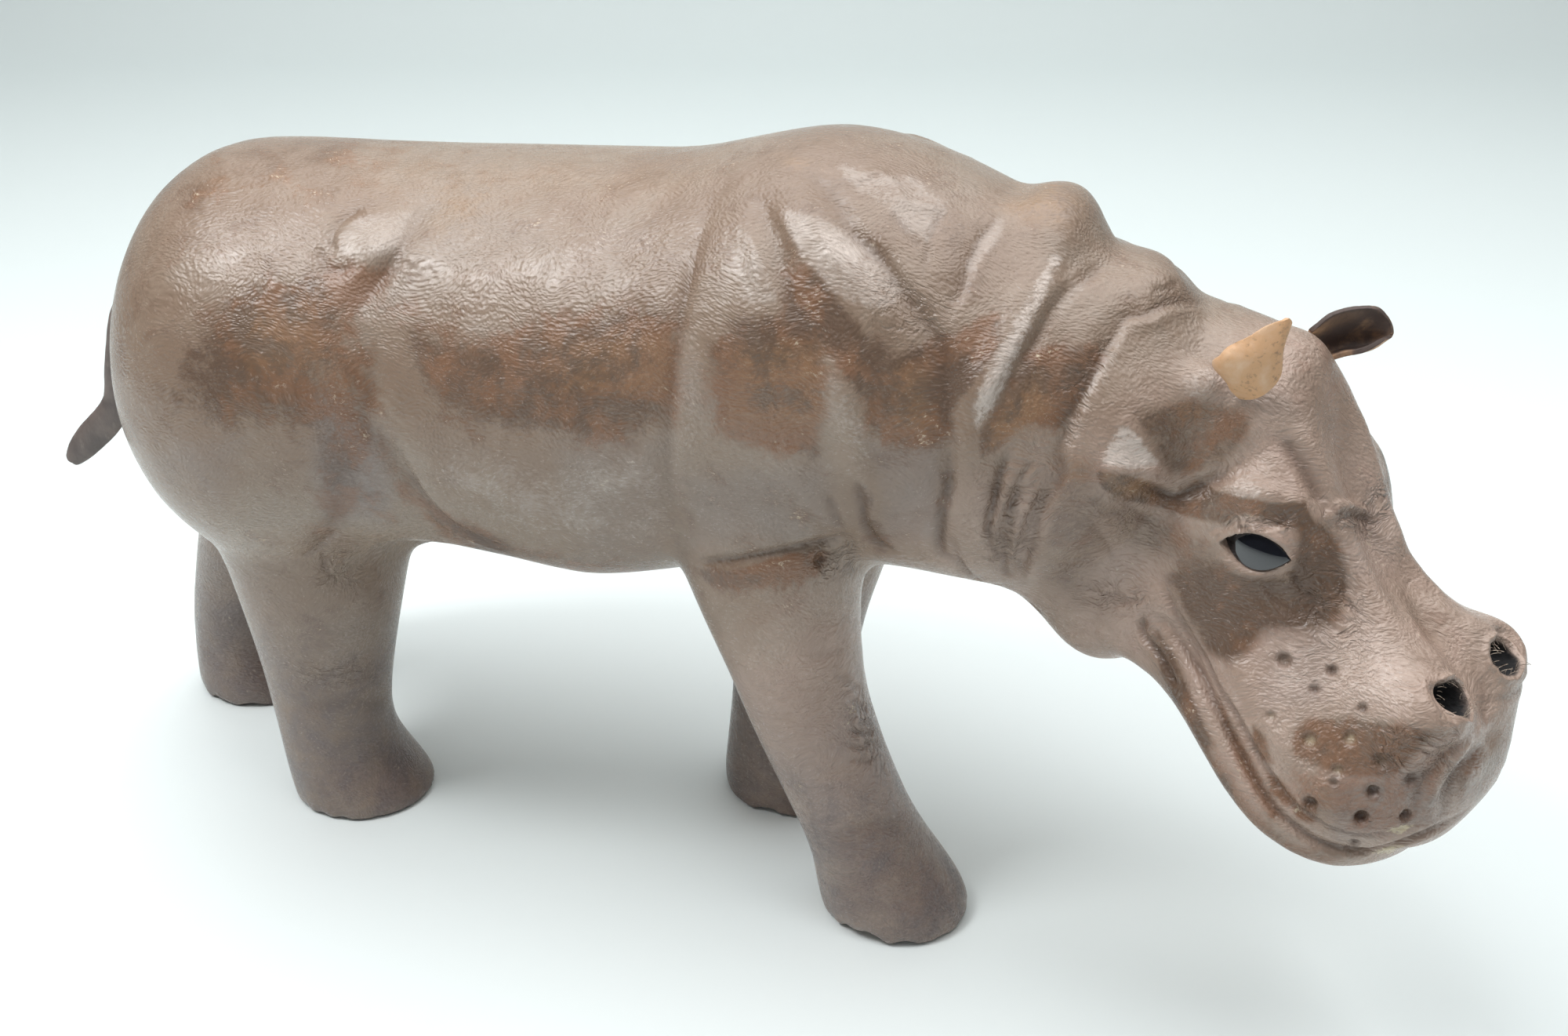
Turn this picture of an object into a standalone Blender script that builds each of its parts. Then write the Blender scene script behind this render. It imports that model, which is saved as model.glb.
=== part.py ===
# Leather hippopotamus figurine: a walking hippo, its lowered head turned to its right.
# X runs forward, Y to the animal's left and Z up. The soles stand on Z = 0.
# The free form is drawn on a grid, DRAWN_LENGTH steps of it along the whole figure.
# Leather, glass, sockets and clearances have real sizes of their own, in metres.

import bpy
import bmesh
import numpy as np
from math import cos, sin, pi, radians
from mathutils import Matrix, Vector
from mathutils.bvhtree import BVHTree

FIGURE_LENGTH = 0.400
DRAWN_LENGTH = 1045.0
STEP = FIGURE_LENGTH / DRAWN_LENGTH

FORM_VOXEL = 5.0 * STEP
SMOOTHING_ROUNDS = 10
BODY_TRIANGLES = 7500
HEAD_FAVOUR = 0.00002
FIT_GAP = 0.0003

# The head's own frame: its origin lies between the ears, its first axis points to the lips.
HEAD_PLACE = Vector((508.0, -20.0, 419.0))
HEAD_TURN = radians(-26.0)
HEAD_DROP = radians(45.0)

# The soles' level on the drawn grid.
GROUND = -6.0

RING_SIDES = 48


def clear_scene():
    for thing in list(bpy.data.objects):
        bpy.data.objects.remove(thing, do_unlink=True)


def make_material(name, colour, roughness, metallic=0.0):
    material = bpy.data.materials.new(name)
    material.use_nodes = True
    shader = material.node_tree.nodes["Principled BSDF"]
    shader.inputs["Base Color"].default_value = (*colour, 1.0)
    shader.inputs["Roughness"].default_value = roughness
    shader.inputs["Metallic"].default_value = metallic
    return material


def head_axes():
    flat = Vector((cos(HEAD_TURN), sin(HEAD_TURN), 0.0))
    forward = flat * cos(HEAD_DROP) - Vector((0.0, 0.0, sin(HEAD_DROP)))
    left = Vector((-sin(HEAD_TURN), cos(HEAD_TURN), 0.0))
    return forward, left, forward.cross(left)


def head_point(along, left, up):
    axes = head_axes()
    return HEAD_PLACE + axes[0] * along + axes[1] * left + axes[2] * up


def spline_through(rows, samples):
    """Rows of numbers carried along a Catmull-Rom curve, samples to each span."""
    rows = [np.array(row, dtype=float) for row in rows]
    rows = [2 * rows[0] - rows[1]] + rows + [2 * rows[-1] - rows[-2]]
    result = []
    for first, second, third, fourth in zip(rows, rows[1:], rows[2:], rows[3:]):
        for index in range(samples):
            t = index / samples
            result.append(0.5 * (2 * second + (third - first) * t
                                 + (2 * first - 5 * second + 4 * third - fourth) * t * t
                                 + (3 * second - first - 3 * third + fourth) * t ** 3))
    result.append(rows[-2])
    return result


def closed_spline(points, samples):
    """A closed Catmull-Rom curve through two-dimensional points."""
    points = [np.array(point, dtype=float) for point in points]
    count = len(points)
    result = []
    for index in range(count):
        first, second = points[index - 1], points[index]
        third, fourth = points[(index + 1) % count], points[(index + 2) % count]
        for part in range(samples):
            t = part / samples
            result.append(0.5 * (2 * second + (third - first) * t
                                 + (2 * first - 5 * second + 4 * third - fourth) * t * t
                                 + (3 * second - first - 3 * third + fourth) * t ** 3))
    return result


def add_rings(mesh, rings):
    """Skins a list of rings of equal length and closes both ends with fans."""
    loops = [[mesh.verts.new(point) for point in ring] for ring in rings]
    for lower, upper in zip(loops, loops[1:]):
        for index in range(len(lower)):
            after = (index + 1) % len(lower)
            mesh.faces.new((lower[index], lower[after], upper[after], upper[index]))
    for ring, flip in ((loops[0], True), (loops[-1], False)):
        middle = sum((vert.co for vert in ring), Vector()) / len(ring)
        centre = mesh.verts.new(middle)
        for index in range(len(ring)):
            pair = (ring[index], ring[(index + 1) % len(ring)])
            mesh.faces.new((centre, *(reversed(pair) if flip else pair)))


# The barrel and neck: middle x, y, z, half width, half height, and the lean of each section.
TRUNK = (
    (-289, -56, 345, 18, 19, 0),
    (-284, -55, 345, 45, 46, 0),
    (-274, -52, 345, 72, 75, 0),
    (-257, -48, 347, 103, 110, 0),
    (-233, -42, 348, 128, 136, 0),
    (-199, -33, 348, 145, 153, 0),
    (-160, -23, 348, 151, 156, 0),
    (-100, -8, 354, 150, 148, 0),
    (-45, 3, 357, 149, 145, 0),
    (10, 10, 355, 152, 149, 0),
    (71, 12, 358, 151, 149, 0),
    (120, 12, 366, 147, 145, 0),
    (165, 12, 379, 144, 145, 2),
    (210, 11, 389, 142, 146, 4),
    (255, 9, 391, 136, 138, 8),
    (300, 6, 382, 128, 131, 12),
    (343, 3, 371, 120, 123, 17),
    (385, -1, 359, 110, 116, 22),
    (425, -8, 344, 98, 104, 28),
    (450, -14, 332, 72, 76, 32),
)


def add_trunk(mesh):
    rows = spline_through(TRUNK, 3)
    rings = []
    for index, (x, y, z, width, height, lean) in enumerate(rows):
        before, after = rows[max(index - 1, 0)], rows[min(index + 1, len(rows) - 1)]
        heading = Vector((after[0] - before[0], after[1] - before[1], 0.0)).normalized()
        right = Vector((heading.y, -heading.x, 0.0))
        upward = heading * sin(radians(lean)) + Vector((0.0, 0.0, cos(radians(lean))))
        ring = []
        for side in range(RING_SIDES):
            turn = 2 * pi * side / RING_SIDES
            middle = Vector((x, y, z))
            ring.append((middle + right * width * sin(turn) + upward * height * cos(turn)) * STEP)
        rings.append(ring)
    add_rings(mesh, rings)


# Each leg from its hip or shoulder down to the sole: middle x, y, z, half length, half width.
LEGS = {
    "hind_right": ((-160, -52, 320, 84, 76), (-158, -57, 262, 80, 74), (-156, -59, 205, 69, 64),
                   (-159, -60, 135, 54, 53), (-163, -60, 68, 44, 46), (-159, -59, 34, 46, 48),
                   (-149, -57, 8, 55, 52), (-145, -56, -6, 57, 53), (-145, -56, -18, 55, 51)),
    "hind_left": ((-212, 42, 320, 80, 74), (-242, 49, 250, 76, 70), (-283, 54, 170, 60, 56),
                  (-315, 54, 98, 50, 48), (-326, 54, 57, 48, 47), (-325, 53, 30, 51, 49),
                  (-320, 52, 10, 56, 53), (-318, 51, -6, 56, 52), (-318, 51, -18, 54, 50)),
    "front_right": ((200, -45, 330, 78, 72), (205, -60, 255, 60, 58), (221, -63, 190, 46, 51),
                    (233, -63, 150, 43, 48), (257, -61, 90, 41, 45), (276, -59, 50, 43, 47),
                    (292, -56, 12, 54, 52), (296, -54, -6, 54, 51), (296, -54, -18, 52, 49)),
    "front_left": ((198, 48, 320, 80, 72), (193, 58, 230, 64, 60), (185, 60, 160, 51, 50),
                   (178, 60, 93, 47, 47), (175, 60, 48, 48, 48), (177, 59, 14, 54, 52),
                   (178, 58, -6, 54, 51), (178, 58, -18, 52, 49)),
}


def add_leg(mesh, rows):
    rings = []
    for x, y, z, length, width in spline_through(rows, 4):
        ring = []
        for side in range(RING_SIDES):
            turn = 2 * pi * side / RING_SIDES
            ring.append(Vector((x + length * cos(turn), y + width * sin(turn), z)) * STEP)
        rings.append(ring)
    add_rings(mesh, rings)


# The head across its own axis: distance along it, then the heights and half widths of
# crown, brow, cheek, jaw and chin.
HEAD = (
    (-72, -30, 34, -45, 62, -110, 60, -170, -196),
    (-40, 0, 40, -20, 72, -100, 76, -188, -212),
    (0, 20, 42, 4, 77, -88, 86, -194, -222),
    (40, 14, 48, -6, 76, -76, 90, -186, -220),
    (78, 2, 54, -12, 70, -62, 82, -165, -196),
    (112, -8, 42, -20, 70, -66, 82, -140, -160),
    (148, -10, 40, -18, 78, -68, 90, -128, -142),
    (188, -2, 48, -6, 86, -64, 97, -124, -136),
    (222, -6, 50, -10, 88, -60, 96, -116, -126),
    (248, -20, 46, -26, 78, -64, 84, -104, -112),
    (266, -36, 38, -42, 62, -68, 64, -90, -98),
    (276, -52, 22, -56, 38, -68, 38, -80, -84),
)


def add_head(mesh):
    rings = []
    for row in spline_through(HEAD, 4):
        along, crown, brow_w, brow, cheek_w, cheek, jaw_w, jaw, chin = row
        half = [(0, crown), (brow_w, brow), (cheek_w, cheek), (jaw_w, jaw)]
        outline = half + [(0, chin)] + [(-w, h) for w, h in reversed(half[1:])]
        ring = [head_point(along, w, h) * STEP for w, h in closed_spline(outline, 6)]
        rings.append(ring)
    add_rings(mesh, rings)


# Rounded lumps under the hide: head frame place, and radii along, across and up.
HEAD_LUMPS = (
    (202, -44, -22, 30, 28, 30),
    (202, 44, -22, 30, 28, 30),
    (74, -44, -34, 34, 24, 28),
    (74, 44, -34, 34, 24, 28),
    (58, -50, -174, 44, 36, 33),
    (58, 50, -174, 44, 36, 33),
)
BODY_LUMPS = (
    (-36, -84, 454, 36, 26, 20),
    (-80, 75, 466, 36, 26, 20),
    (362, 8, 479, 32, 56, 34),
    (418, -5, 447, 34, 56, 32),
)


def add_lump(mesh, place, axes, radii):
    turned = Matrix((axes[0] * radii[0], axes[1] * radii[1], axes[2] * radii[2])).transposed()
    turned = Matrix.Translation(place) @ turned.to_4x4()
    bmesh.ops.create_icosphere(mesh, subdivisions=3, radius=1.0, matrix=turned)


def rough_form():
    mesh = bmesh.new()
    add_trunk(mesh)
    for rows in LEGS.values():
        add_leg(mesh, rows)
    add_head(mesh)
    forward, left, upward = head_axes()
    for along, across, up, *radii in HEAD_LUMPS:
        place = head_point(along, across, up) * STEP
        add_lump(mesh, place, (forward, left, upward), [value * STEP for value in radii])
    world = (Vector((1, 0, 0)), Vector((0, 1, 0)), Vector((0, 0, 1)))
    for x, y, z, *radii in BODY_LUMPS:
        place = Vector((x, y, z)) * STEP
        add_lump(mesh, place, world, [value * STEP for value in radii])
    bmesh.ops.recalc_face_normals(mesh, faces=mesh.faces)
    data = bpy.data.meshes.new("body")
    mesh.to_mesh(data)
    mesh.free()
    return data


def applied(thing):
    """The object's mesh with its modifiers worked in."""
    graph = bpy.context.evaluated_depsgraph_get()
    data = bpy.data.meshes.new_from_object(thing.evaluated_get(graph))
    thing.modifiers.clear()
    thing.data = data
    return data


def coordinates(data):
    flat = np.empty(len(data.vertices) * 3)
    data.vertices.foreach_get("co", flat)
    return flat.reshape(-1, 3)


def set_coordinates(data, places):
    data.vertices.foreach_set("co", places.ravel())
    data.update()


def relax(data, rounds, strength=0.5):
    edges = np.empty(len(data.edges) * 2, dtype=np.int64)
    data.edges.foreach_get("vertices", edges)
    edges = edges.reshape(-1, 2)
    places = coordinates(data)
    total = np.zeros(len(places))
    np.add.at(total, edges.ravel(), 1)
    for _ in range(rounds):
        sums = np.zeros_like(places)
        np.add.at(sums, edges[:, 0], places[edges[:, 1]])
        np.add.at(sums, edges[:, 1], places[edges[:, 0]])
        places = places + strength * (sums / total[:, None] - places)
    set_coordinates(data, places)


# Folds of the barrel and neck on the right flank: width, depth, then stations along the
# trunk with the angle round it from the top. A negative depth raises a ridge.
TRUNK_FOLDS = (
    (8, 3.2, ((173, 25), (167, 41), (167, 63), (165, 75), (163, 87), (160, 105), (156, 126))),
    (6, 4.0, ((176, 128), (203, 126), (227, 126), (247, 128), (266, 126))),
    (7, 3.0, ((197, 30), (210, 41), (222, 49), (233, 59), (247, 71))),
    (10, -4.0, ((219, 32), (245, 43), (268, 51), (288, 57))),
    (8, 4.0, ((210, 23), (230, 26), (246, 32), (269, 41), (290, 48), (310, 54), (326, 65),
              (332, 76), (333, 87), (335, 101))),
    (9, -4.0, ((261, 72), (268, 79), (274, 87), (280, 98))),
    (12, -5.0, ((232, 96), (250, 112), (258, 122))),
    (7, 2.8, ((338, 15), (331, 29), (328, 38), (324, 44), (319, 50))),
    (10, -3.0, ((369, 15), (364, 26), (359, 40), (351, 59), (340, 76), (334, 91))),
    (8, 3.0, ((403, 6), (387, 24), (378, 33), (370, 46), (362, 55), (351, 73))),
    (7, 3.0, ((445, 6), (438, 12), (427, 19), (416, 23))),
    (7, 4.5, ((416, 23), (408, 40), (397, 60), (393, 74), (388, 88), (385, 103), (377, 118),
              (371, 134))),
    (4, 3.0, ((369, 77), (363, 83), (359, 93), (355, 104), (356, 113))),
    (4, 3.0, ((379, 74), (377, 81), (371, 101), (366, 120), (367, 138))),
    (6, 4.0, ((331, 86), (332, 99), (325, 114), (325, 124), (334, 132))),
    (8, 3.0, ((-27, 29), (-26, 37), (-29, 47), (-40, 52), (-49, 64), (-42, 67), (-35, 77),
              (-40, 85), (-35, 91))),
    (9, 4.0, ((-35, 91), (-25, 96), (-18, 110), (-14, 124))),
    (30, 20.0, ((-72, 150), (-44, 152), (-16, 152), (20, 150))),
)

# Creases and ridges of the head's right side in its own frame: along, left, up.
HEAD_FOLDS = (
    (5, 4.5, ((82, -83, -117), (94, -80, -102), (109, -81, -100), (131, -86, -97),
              (151, -90, -94), (172, -94, -91), (195, -98, -90), (215, -99, -87),
              (233, -94, -84), (247, -84, -80), (258, -68, -76), (266, -46, -73),
              (272, -22, -71), (274, 0, -70))),
    (9, -4.0, ((96, -82, -122), (131, -88, -117), (172, -96, -110), (215, -97, -105),
               (247, -80, -95), (262, -50, -88), (268, 0, -84))),
    (9, -3.0, ((120, -80, -78), (151, -88, -74), (195, -94, -70), (233, -88, -64),
               (258, -62, -56), (270, -20, -54))),
    (9, -4.0, ((70, -84, -112), (80, -86, -104), (90, -82, -92))),
    (6, 4.5, ((16, -87, -55), (28, -72, -51), (32, -63, -28), (31, -54, -10), (31, -44, 2))),
    (9, -4.0, ((50, -62, -30), (56, -54, -12), (72, -50, -4))),
    (8, -4.0, ((20, -32, 13), (59, -26, 5), (97, -23, -6), (136, -24, -12), (166, -30, -6))),
    (12, 4.0, ((30, 0, 14), (80, 0, 2), (130, 0, -10), (180, 0, -4), (225, 0, -6))),
    (8, 4.0, ((96, -68, -46), (116, -66, -34), (140, -52, -22))),
    (9, -4.5, ((-18, -53, -10), (-10, -55, -8))),
)

# Whisker pits on the muzzle's right side: along, left, up.
WHISKER_PITS = (
    (140, -70, -57), (159, -62, -37), (162, -71, -48), (163, -85, -74), (183, -68, -30),
    (187, -84, -60), (194, -76, -41), (207, -85, -55), (227, -77, -42), (217, -94, -75),
    (235, -82, -57), (246, -68, -44), (228, -66, -28), (248, -81, -69),
)
PIT_WIDTH = 5.5
PIT_DEPTH = 3.0

# A distance from the trunk's middle that is clear of the hide on every side.
CLEAR_OF_TRUNK = 400.0
# A stroke ends at this many widths, and its ends fade in over this share of its length.
STROKE_REACH = 3.0
FADE_SHARE = 1 / 6
FADE_START = 0.25
STROKE_SAMPLES = 8


def trunk_point(tree, station, angle):
    """The hide's surface at a station, looked for from outside towards the trunk's middle."""
    middles = np.array([row[:3] for row in TRUNK], dtype=float)
    y = np.interp(station, middles[:, 0], middles[:, 1])
    z = np.interp(station, middles[:, 0], middles[:, 2])
    outward = Vector((0.0, -sin(radians(angle)), cos(radians(angle))))
    start = (Vector((station, y, z)) + outward * CLEAR_OF_TRUNK) * STEP
    return np.array(tree.ray_cast(start, -outward)[0])


def surface_point(tree, along, left, up):
    return np.array(tree.find_nearest(head_point(along, left, up) * STEP)[0])


def carve(places, normals, strokes):
    """Presses each stroke into the hide: strokes of width, depth, points and end fade."""
    depth_total = np.zeros(len(places))
    for width, depth, points, fades in strokes:
        reach = STROKE_REACH * width * STEP
        low = points.min(axis=0) - reach
        high = points.max(axis=0) + reach
        near = np.nonzero(np.all((places > low) & (places < high), axis=1))[0]
        if len(near) == 0:
            continue
        gaps = places[near][:, None, :] - points[None, :, :]
        falls = np.exp(-(gaps ** 2).sum(axis=2) / (width * STEP) ** 2) * fades
        depth_total[near] += depth * STEP * falls.max(axis=1)
    return places - normals * depth_total[:, None]


def stroke(width, depth, points, faded=True):
    dense = np.array(spline_through(points, STROKE_SAMPLES))
    if not faded:
        return width, depth, dense, np.ones(len(dense))
    along = np.linspace(0.0, 1.0, len(dense))
    from_end = np.minimum(along, 1.0 - along)
    return width, depth, dense, np.clip(from_end / FADE_SHARE + FADE_START, 0.0, 1.0)


def carving_strokes(tree):
    strokes = []
    for side in (1, -1):
        for width, depth, rows in TRUNK_FOLDS:
            points = [trunk_point(tree, station, angle * side) for station, angle in rows]
            strokes.append(stroke(width, depth, points))
        for width, depth, rows in HEAD_FOLDS:
            points = [surface_point(tree, along, left * side, up) for along, left, up in rows]
            strokes.append(stroke(width, depth, points))
        for along, left, up in WHISKER_PITS:
            pit = np.array([surface_point(tree, along, left * side, up)])
            strokes.append((PIT_WIDTH, PIT_DEPTH, pit, np.ones(1)))
    return strokes


def vertex_normals(data):
    flat = np.empty(len(data.vertices) * 3)
    data.vertices.foreach_get("normal", flat)
    return flat.reshape(-1, 3)


def body_tree(data):
    mesh = bmesh.new()
    mesh.from_mesh(data)
    tree = BVHTree.FromBMesh(mesh)
    mesh.free()
    return tree


# How coarse the hide's faces may be: full on the trunk, finer along the head to its lips.
HEAD_START = 380.0
HEAD_COARSE = 0.55
HEAD_REFINES_OVER = 500.0
FINEST = 0.25
COARSE_LEVELS = 5


def thin_out(body):
    """Fewer triangles, with more of them kept on the head."""
    group = body.vertex_groups.new(name="coarse")
    places = coordinates(body.data) / STEP
    along = (places - np.array(HEAD_PLACE)) @ np.array(head_axes()[0])
    on_head = np.clip(HEAD_COARSE - along / HEAD_REFINES_OVER, FINEST, 1.0)
    weights = np.where(places[:, 0] > HEAD_START, on_head, 1.0)
    levels = np.linspace(FINEST, 1.0, COARSE_LEVELS)
    nearest = np.abs(weights[:, None] - levels[None, :]).argmin(axis=1)
    for index, level in enumerate(levels):
        chosen = np.nonzero(nearest == index)[0]
        if len(chosen):
            group.add([int(vertex) for vertex in chosen], float(level), "REPLACE")
    thin = body.modifiers.new("fewer faces", "DECIMATE")
    thin.ratio = BODY_TRIANGLES / (2.0 * len(body.data.polygons))
    thin.vertex_group = group.name
    thin.vertex_group_factor = HEAD_FAVOUR
    thin.use_collapse_triangulate = True
    applied(body)
    body.vertex_groups.clear()


def cut_soles(data):
    """Cuts the feet off flat on the ground."""
    mesh = bmesh.new()
    mesh.from_mesh(data)
    geometry = mesh.verts[:] + mesh.edges[:] + mesh.faces[:]
    bmesh.ops.bisect_plane(mesh, geom=geometry, dist=1e-6,
                           plane_co=(0, 0, GROUND * STEP), plane_no=(0, 0, -1),
                           clear_outer=True)
    bmesh.ops.holes_fill(mesh, edges=[edge for edge in mesh.edges if edge.is_boundary])
    bmesh.ops.triangulate(mesh, faces=mesh.faces)
    mesh.to_mesh(data)
    mesh.free()


def cut_by(body, cutter):
    cut = body.modifiers.new("cut", "BOOLEAN")
    cut.operation = "DIFFERENCE"
    cut.object = cutter
    bpy.context.view_layer.update()
    applied(body)
    bpy.data.objects.remove(cutter, do_unlink=True)


def new_object(name, mesh, material=None):
    data = bpy.data.meshes.new(name)
    bmesh.ops.triangulate(mesh, faces=mesh.faces)
    bmesh.ops.recalc_face_normals(mesh, faces=mesh.faces)
    mesh.to_mesh(data)
    mesh.free()
    thing = bpy.data.objects.new(name, data)
    bpy.context.scene.collection.objects.link(thing)
    if material is not None:
        data.materials.append(material)
    return thing


# Glass eyes: almonds that fill slits in the hide.
EYE_LENGTH = 0.0156
EYE_HEIGHT = 0.0084
EYE_DEPTH = 0.0040
EYE_DOME = 0.0011
EYE_SINK = 0.0006
EYE_PLACE = (79.0, -67.0, -36.0)
EYE_FACING = Vector((0.15, -0.96, 0.17)).normalized()
EYE_LINE = Vector((0.70, 0.22, 0.67)).normalized()
EYE_POINTS = 24
DOME_RINGS = (0.75, 0.4)
LID_WIDTH = 4.0
LID_RISE = 2.2


def side_axes(side, facing, line):
    """Facing, line and cross directions of a fitting on one side of the head."""
    forward, left, upward = head_axes()

    def turned(direction):
        return forward * direction.x + left * direction.y * side + upward * direction.z

    out = turned(facing).normalized()
    main = (turned(line) - out * turned(line).dot(out)).normalized()
    return out, main, out.cross(main)


def almond(length, height):
    """Half-lengths of an almond outline, pointed at both corners."""
    outline = []
    for index in range(EYE_POINTS):
        turn = 2 * pi * index / EYE_POINTS
        outline.append((length / 2 * cos(turn), height / 2 * sin(turn) * abs(sin(turn))))
    return outline


def eye_place(tree, side):
    along, left, up = EYE_PLACE
    return Vector(surface_point(tree, along, left * side, up))


def eye_mesh(place, axes, grow, rise):
    """An almond of glass; grown by a clearance and raised past the hide it cuts its pocket."""
    out, main, cross = axes
    mesh = bmesh.new()
    outline = almond(EYE_LENGTH + 2 * grow, EYE_HEIGHT + 2 * grow)
    levels = [(1.0, -EYE_DEPTH - grow), (1.0, rise)]
    if rise <= 0.0:
        levels += [(scale, rise + EYE_DOME * (1.0 - scale ** 2)) for scale in DOME_RINGS]
    rings = []
    for scale, height in levels:
        rings.append([place + main * (x * scale) + cross * (y * scale) + out * height
                      for x, y in outline])
    add_rings(mesh, rings)
    return mesh


# Nostrils: pits in the mounds at the end of the muzzle.
NOSTRIL_PLACE = (201.0, -43.0, 8.0)
NOSTRIL_FACING = Vector((0.35, -0.50, 0.78)).normalized()
NOSTRIL_LINE = Vector((0.6, 0.4, 0.0))
NOSTRIL_LENGTH = 0.0095
NOSTRIL_WIDTH = 0.0074
NOSTRIL_DEPTH = 0.0065
NOSTRIL_SIDES = 14
# The pit's share of its full width at levels counted in depths, from its floor to outside.
NOSTRIL_TAPER = ((0.45, -1.0), (0.85, -0.6), (1.0, 0.0), (1.15, 0.6))


def nostril_cutter(tree, side):
    along, left, up = NOSTRIL_PLACE
    place = Vector(surface_point(tree, along, left * side, up))
    out, main, cross = side_axes(side, NOSTRIL_FACING, NOSTRIL_LINE)
    mesh = bmesh.new()
    rings = []
    for scale, level in NOSTRIL_TAPER:
        height = NOSTRIL_DEPTH * level
        ring = []
        for index in range(NOSTRIL_SIDES):
            turn = 2 * pi * index / NOSTRIL_SIDES
            ring.append(place + main * (NOSTRIL_LENGTH / 2 * scale * cos(turn))
                        + cross * (NOSTRIL_WIDTH / 2 * scale * sin(turn)) + out * height)
        rings.append(ring)
    add_rings(mesh, rings)
    return new_object("nostril cutter", mesh)


# Ears: cupped leaves of leather, each from its rear corner to its tip, with the margin that
# is rooted in the head, the cup's middle and the free margin, in the head's frame.
EAR_LEATHER = 0.0011
EAR_ROWS = 12
EAR_COLUMNS = 6
EAR_RIGHT = (
    ((-21, -55, 0), (-24, -57, 2), (-25, -58, 5)),
    ((-11, -55, 2), (-20, -64, 13), (-26, -60, 21)),
    ((-1, -47, -3), (-11, -59, 18), (-25, -56, 32)),
    ((5, -48, 9), (-10, -55, 27), (-25, -53, 40)),
    ((2, -44, 24), (-11, -51, 35), (-24, -50, 46)),
    ((-10, -46, 35), (-16, -48, 43), (-23, -49, 48)),
    ((-20, -43, 46), (-21, -44, 48), (-23, -46, 49)),
)
EAR_LEFT = (
    ((-6, 42, -6), (-14, 45, -2), (-16, 42, 3)),
    ((2, 47, -4), (-4, 60, -4), (-18, 50, 17)),
    ((6, 54, 6), (1, 70, 5), (-13, 62, 27)),
    ((10, 62, 15), (8, 77, 14), (-7, 69, 32)),
    ((10, 72, 24), (10, 77, 27), (2, 74, 32)),
)


def ear_grid(rows):
    """The leaf's middle surface as a grid of points."""
    lines = []
    samples = EAR_ROWS // (len(rows) - 1)
    for row in spline_through([np.ravel(row) for row in rows], samples):
        lower, middle, upper = row.reshape(3, 3)
        line = []
        for index in range(EAR_COLUMNS + 1):
            t = index / EAR_COLUMNS
            place = (lower * (2 * t - 1) * (t - 1) + middle * 4 * t * (1 - t)
                     + upper * t * (2 * t - 1))
            line.append(head_point(*place) * STEP)
        lines.append(line)
    return lines


def grid_normal(grid, row, column):
    rows, columns = len(grid), len(grid[0])
    down = grid[min(row + 1, rows - 1)][column] - grid[max(row - 1, 0)][column]
    over = grid[row][min(column + 1, columns - 1)] - grid[row][max(column - 1, 0)]
    return down.cross(over).normalized()


def sheet_mesh(grid, thickness, spread=0.0):
    """A closed sheet round a grid; spread also carries its margins outwards."""
    mesh = bmesh.new()
    rows, columns = len(grid), len(grid[0])
    middle = sum((point for line in grid for point in line), Vector()) / (rows * columns)
    shells = []
    for side in (0.5, -0.5):
        shell = []
        for row in range(rows):
            line = []
            for column in range(columns):
                point = grid[row][column]
                edge = row in (0, rows - 1) or column in (0, columns - 1)
                shift = (point - middle).normalized() * spread if edge else Vector()
                lift = grid_normal(grid, row, column) * thickness * side
                line.append(mesh.verts.new(point + shift + lift))
            shell.append(line)
        shells.append(shell)
    for shell in shells:
        for row in range(rows - 1):
            for column in range(columns - 1):
                mesh.faces.new((shell[row][column], shell[row + 1][column],
                                shell[row + 1][column + 1], shell[row][column + 1]))
    border = [(0, column) for column in range(columns - 1)]
    border += [(row, columns - 1) for row in range(rows - 1)]
    border += [(rows - 1, column) for column in range(columns - 1, 0, -1)]
    border += [(row, 0) for row in range(rows - 1, 0, -1)]
    for first, second in zip(border, border[1:] + border[:1]):
        front, back = shells
        mesh.faces.new((front[first[0]][first[1]], front[second[0]][second[1]],
                        back[second[0]][second[1]], back[first[0]][first[1]]))
    return mesh


# The tail: a flat-sided strip of folded leather hanging from a slot in the rump. Its route
# lies in the rump's middle plane: distance behind the rump's end, height and half width.
TAIL_THICKNESS = 0.0036
TAIL_PLACE = Vector((-290.0, -56.0, 0.0))
TAIL_HEADING = radians(14.0)
TAIL_ROUTE = (
    (-26, 406, 7.5), (-7, 393, 8.5), (7, 375, 9.5), (14, 352, 10.0), (20, 328, 10.5),
    (24, 307, 11.0), (35, 291, 12.0), (49, 278, 12.0), (62, 265, 10.0), (70, 256, 6.0),
)
TAIL_SIDES = 10


def tail_mesh(grow):
    rows = spline_through(TAIL_ROUTE, 2)
    backward = Vector((-cos(TAIL_HEADING), -sin(TAIL_HEADING), 0.0))
    across = Vector((0.0, 0.0, 1.0)).cross(backward)
    mesh = bmesh.new()
    rings = []
    for index, (behind, height, half) in enumerate(rows):
        before, after = rows[max(index - 1, 0)], rows[min(index + 1, len(rows) - 1)]
        run = backward * (after[0] - before[0]) + Vector((0.0, 0.0, after[1] - before[1]))
        run.normalize()
        out = run.cross(across)
        place = (TAIL_PLACE + backward * behind + Vector((0.0, 0.0, height))) * STEP
        if index == 0:
            place -= run * grow
        ring = []
        for side in range(TAIL_SIDES):
            turn = 2 * pi * side / TAIL_SIDES
            ring.append(place + out * (half * STEP + grow) * cos(turn)
                        + across * (TAIL_THICKNESS / 2 + grow) * sin(turn))
        rings.append(ring)
    add_rings(mesh, rings)
    return mesh


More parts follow.
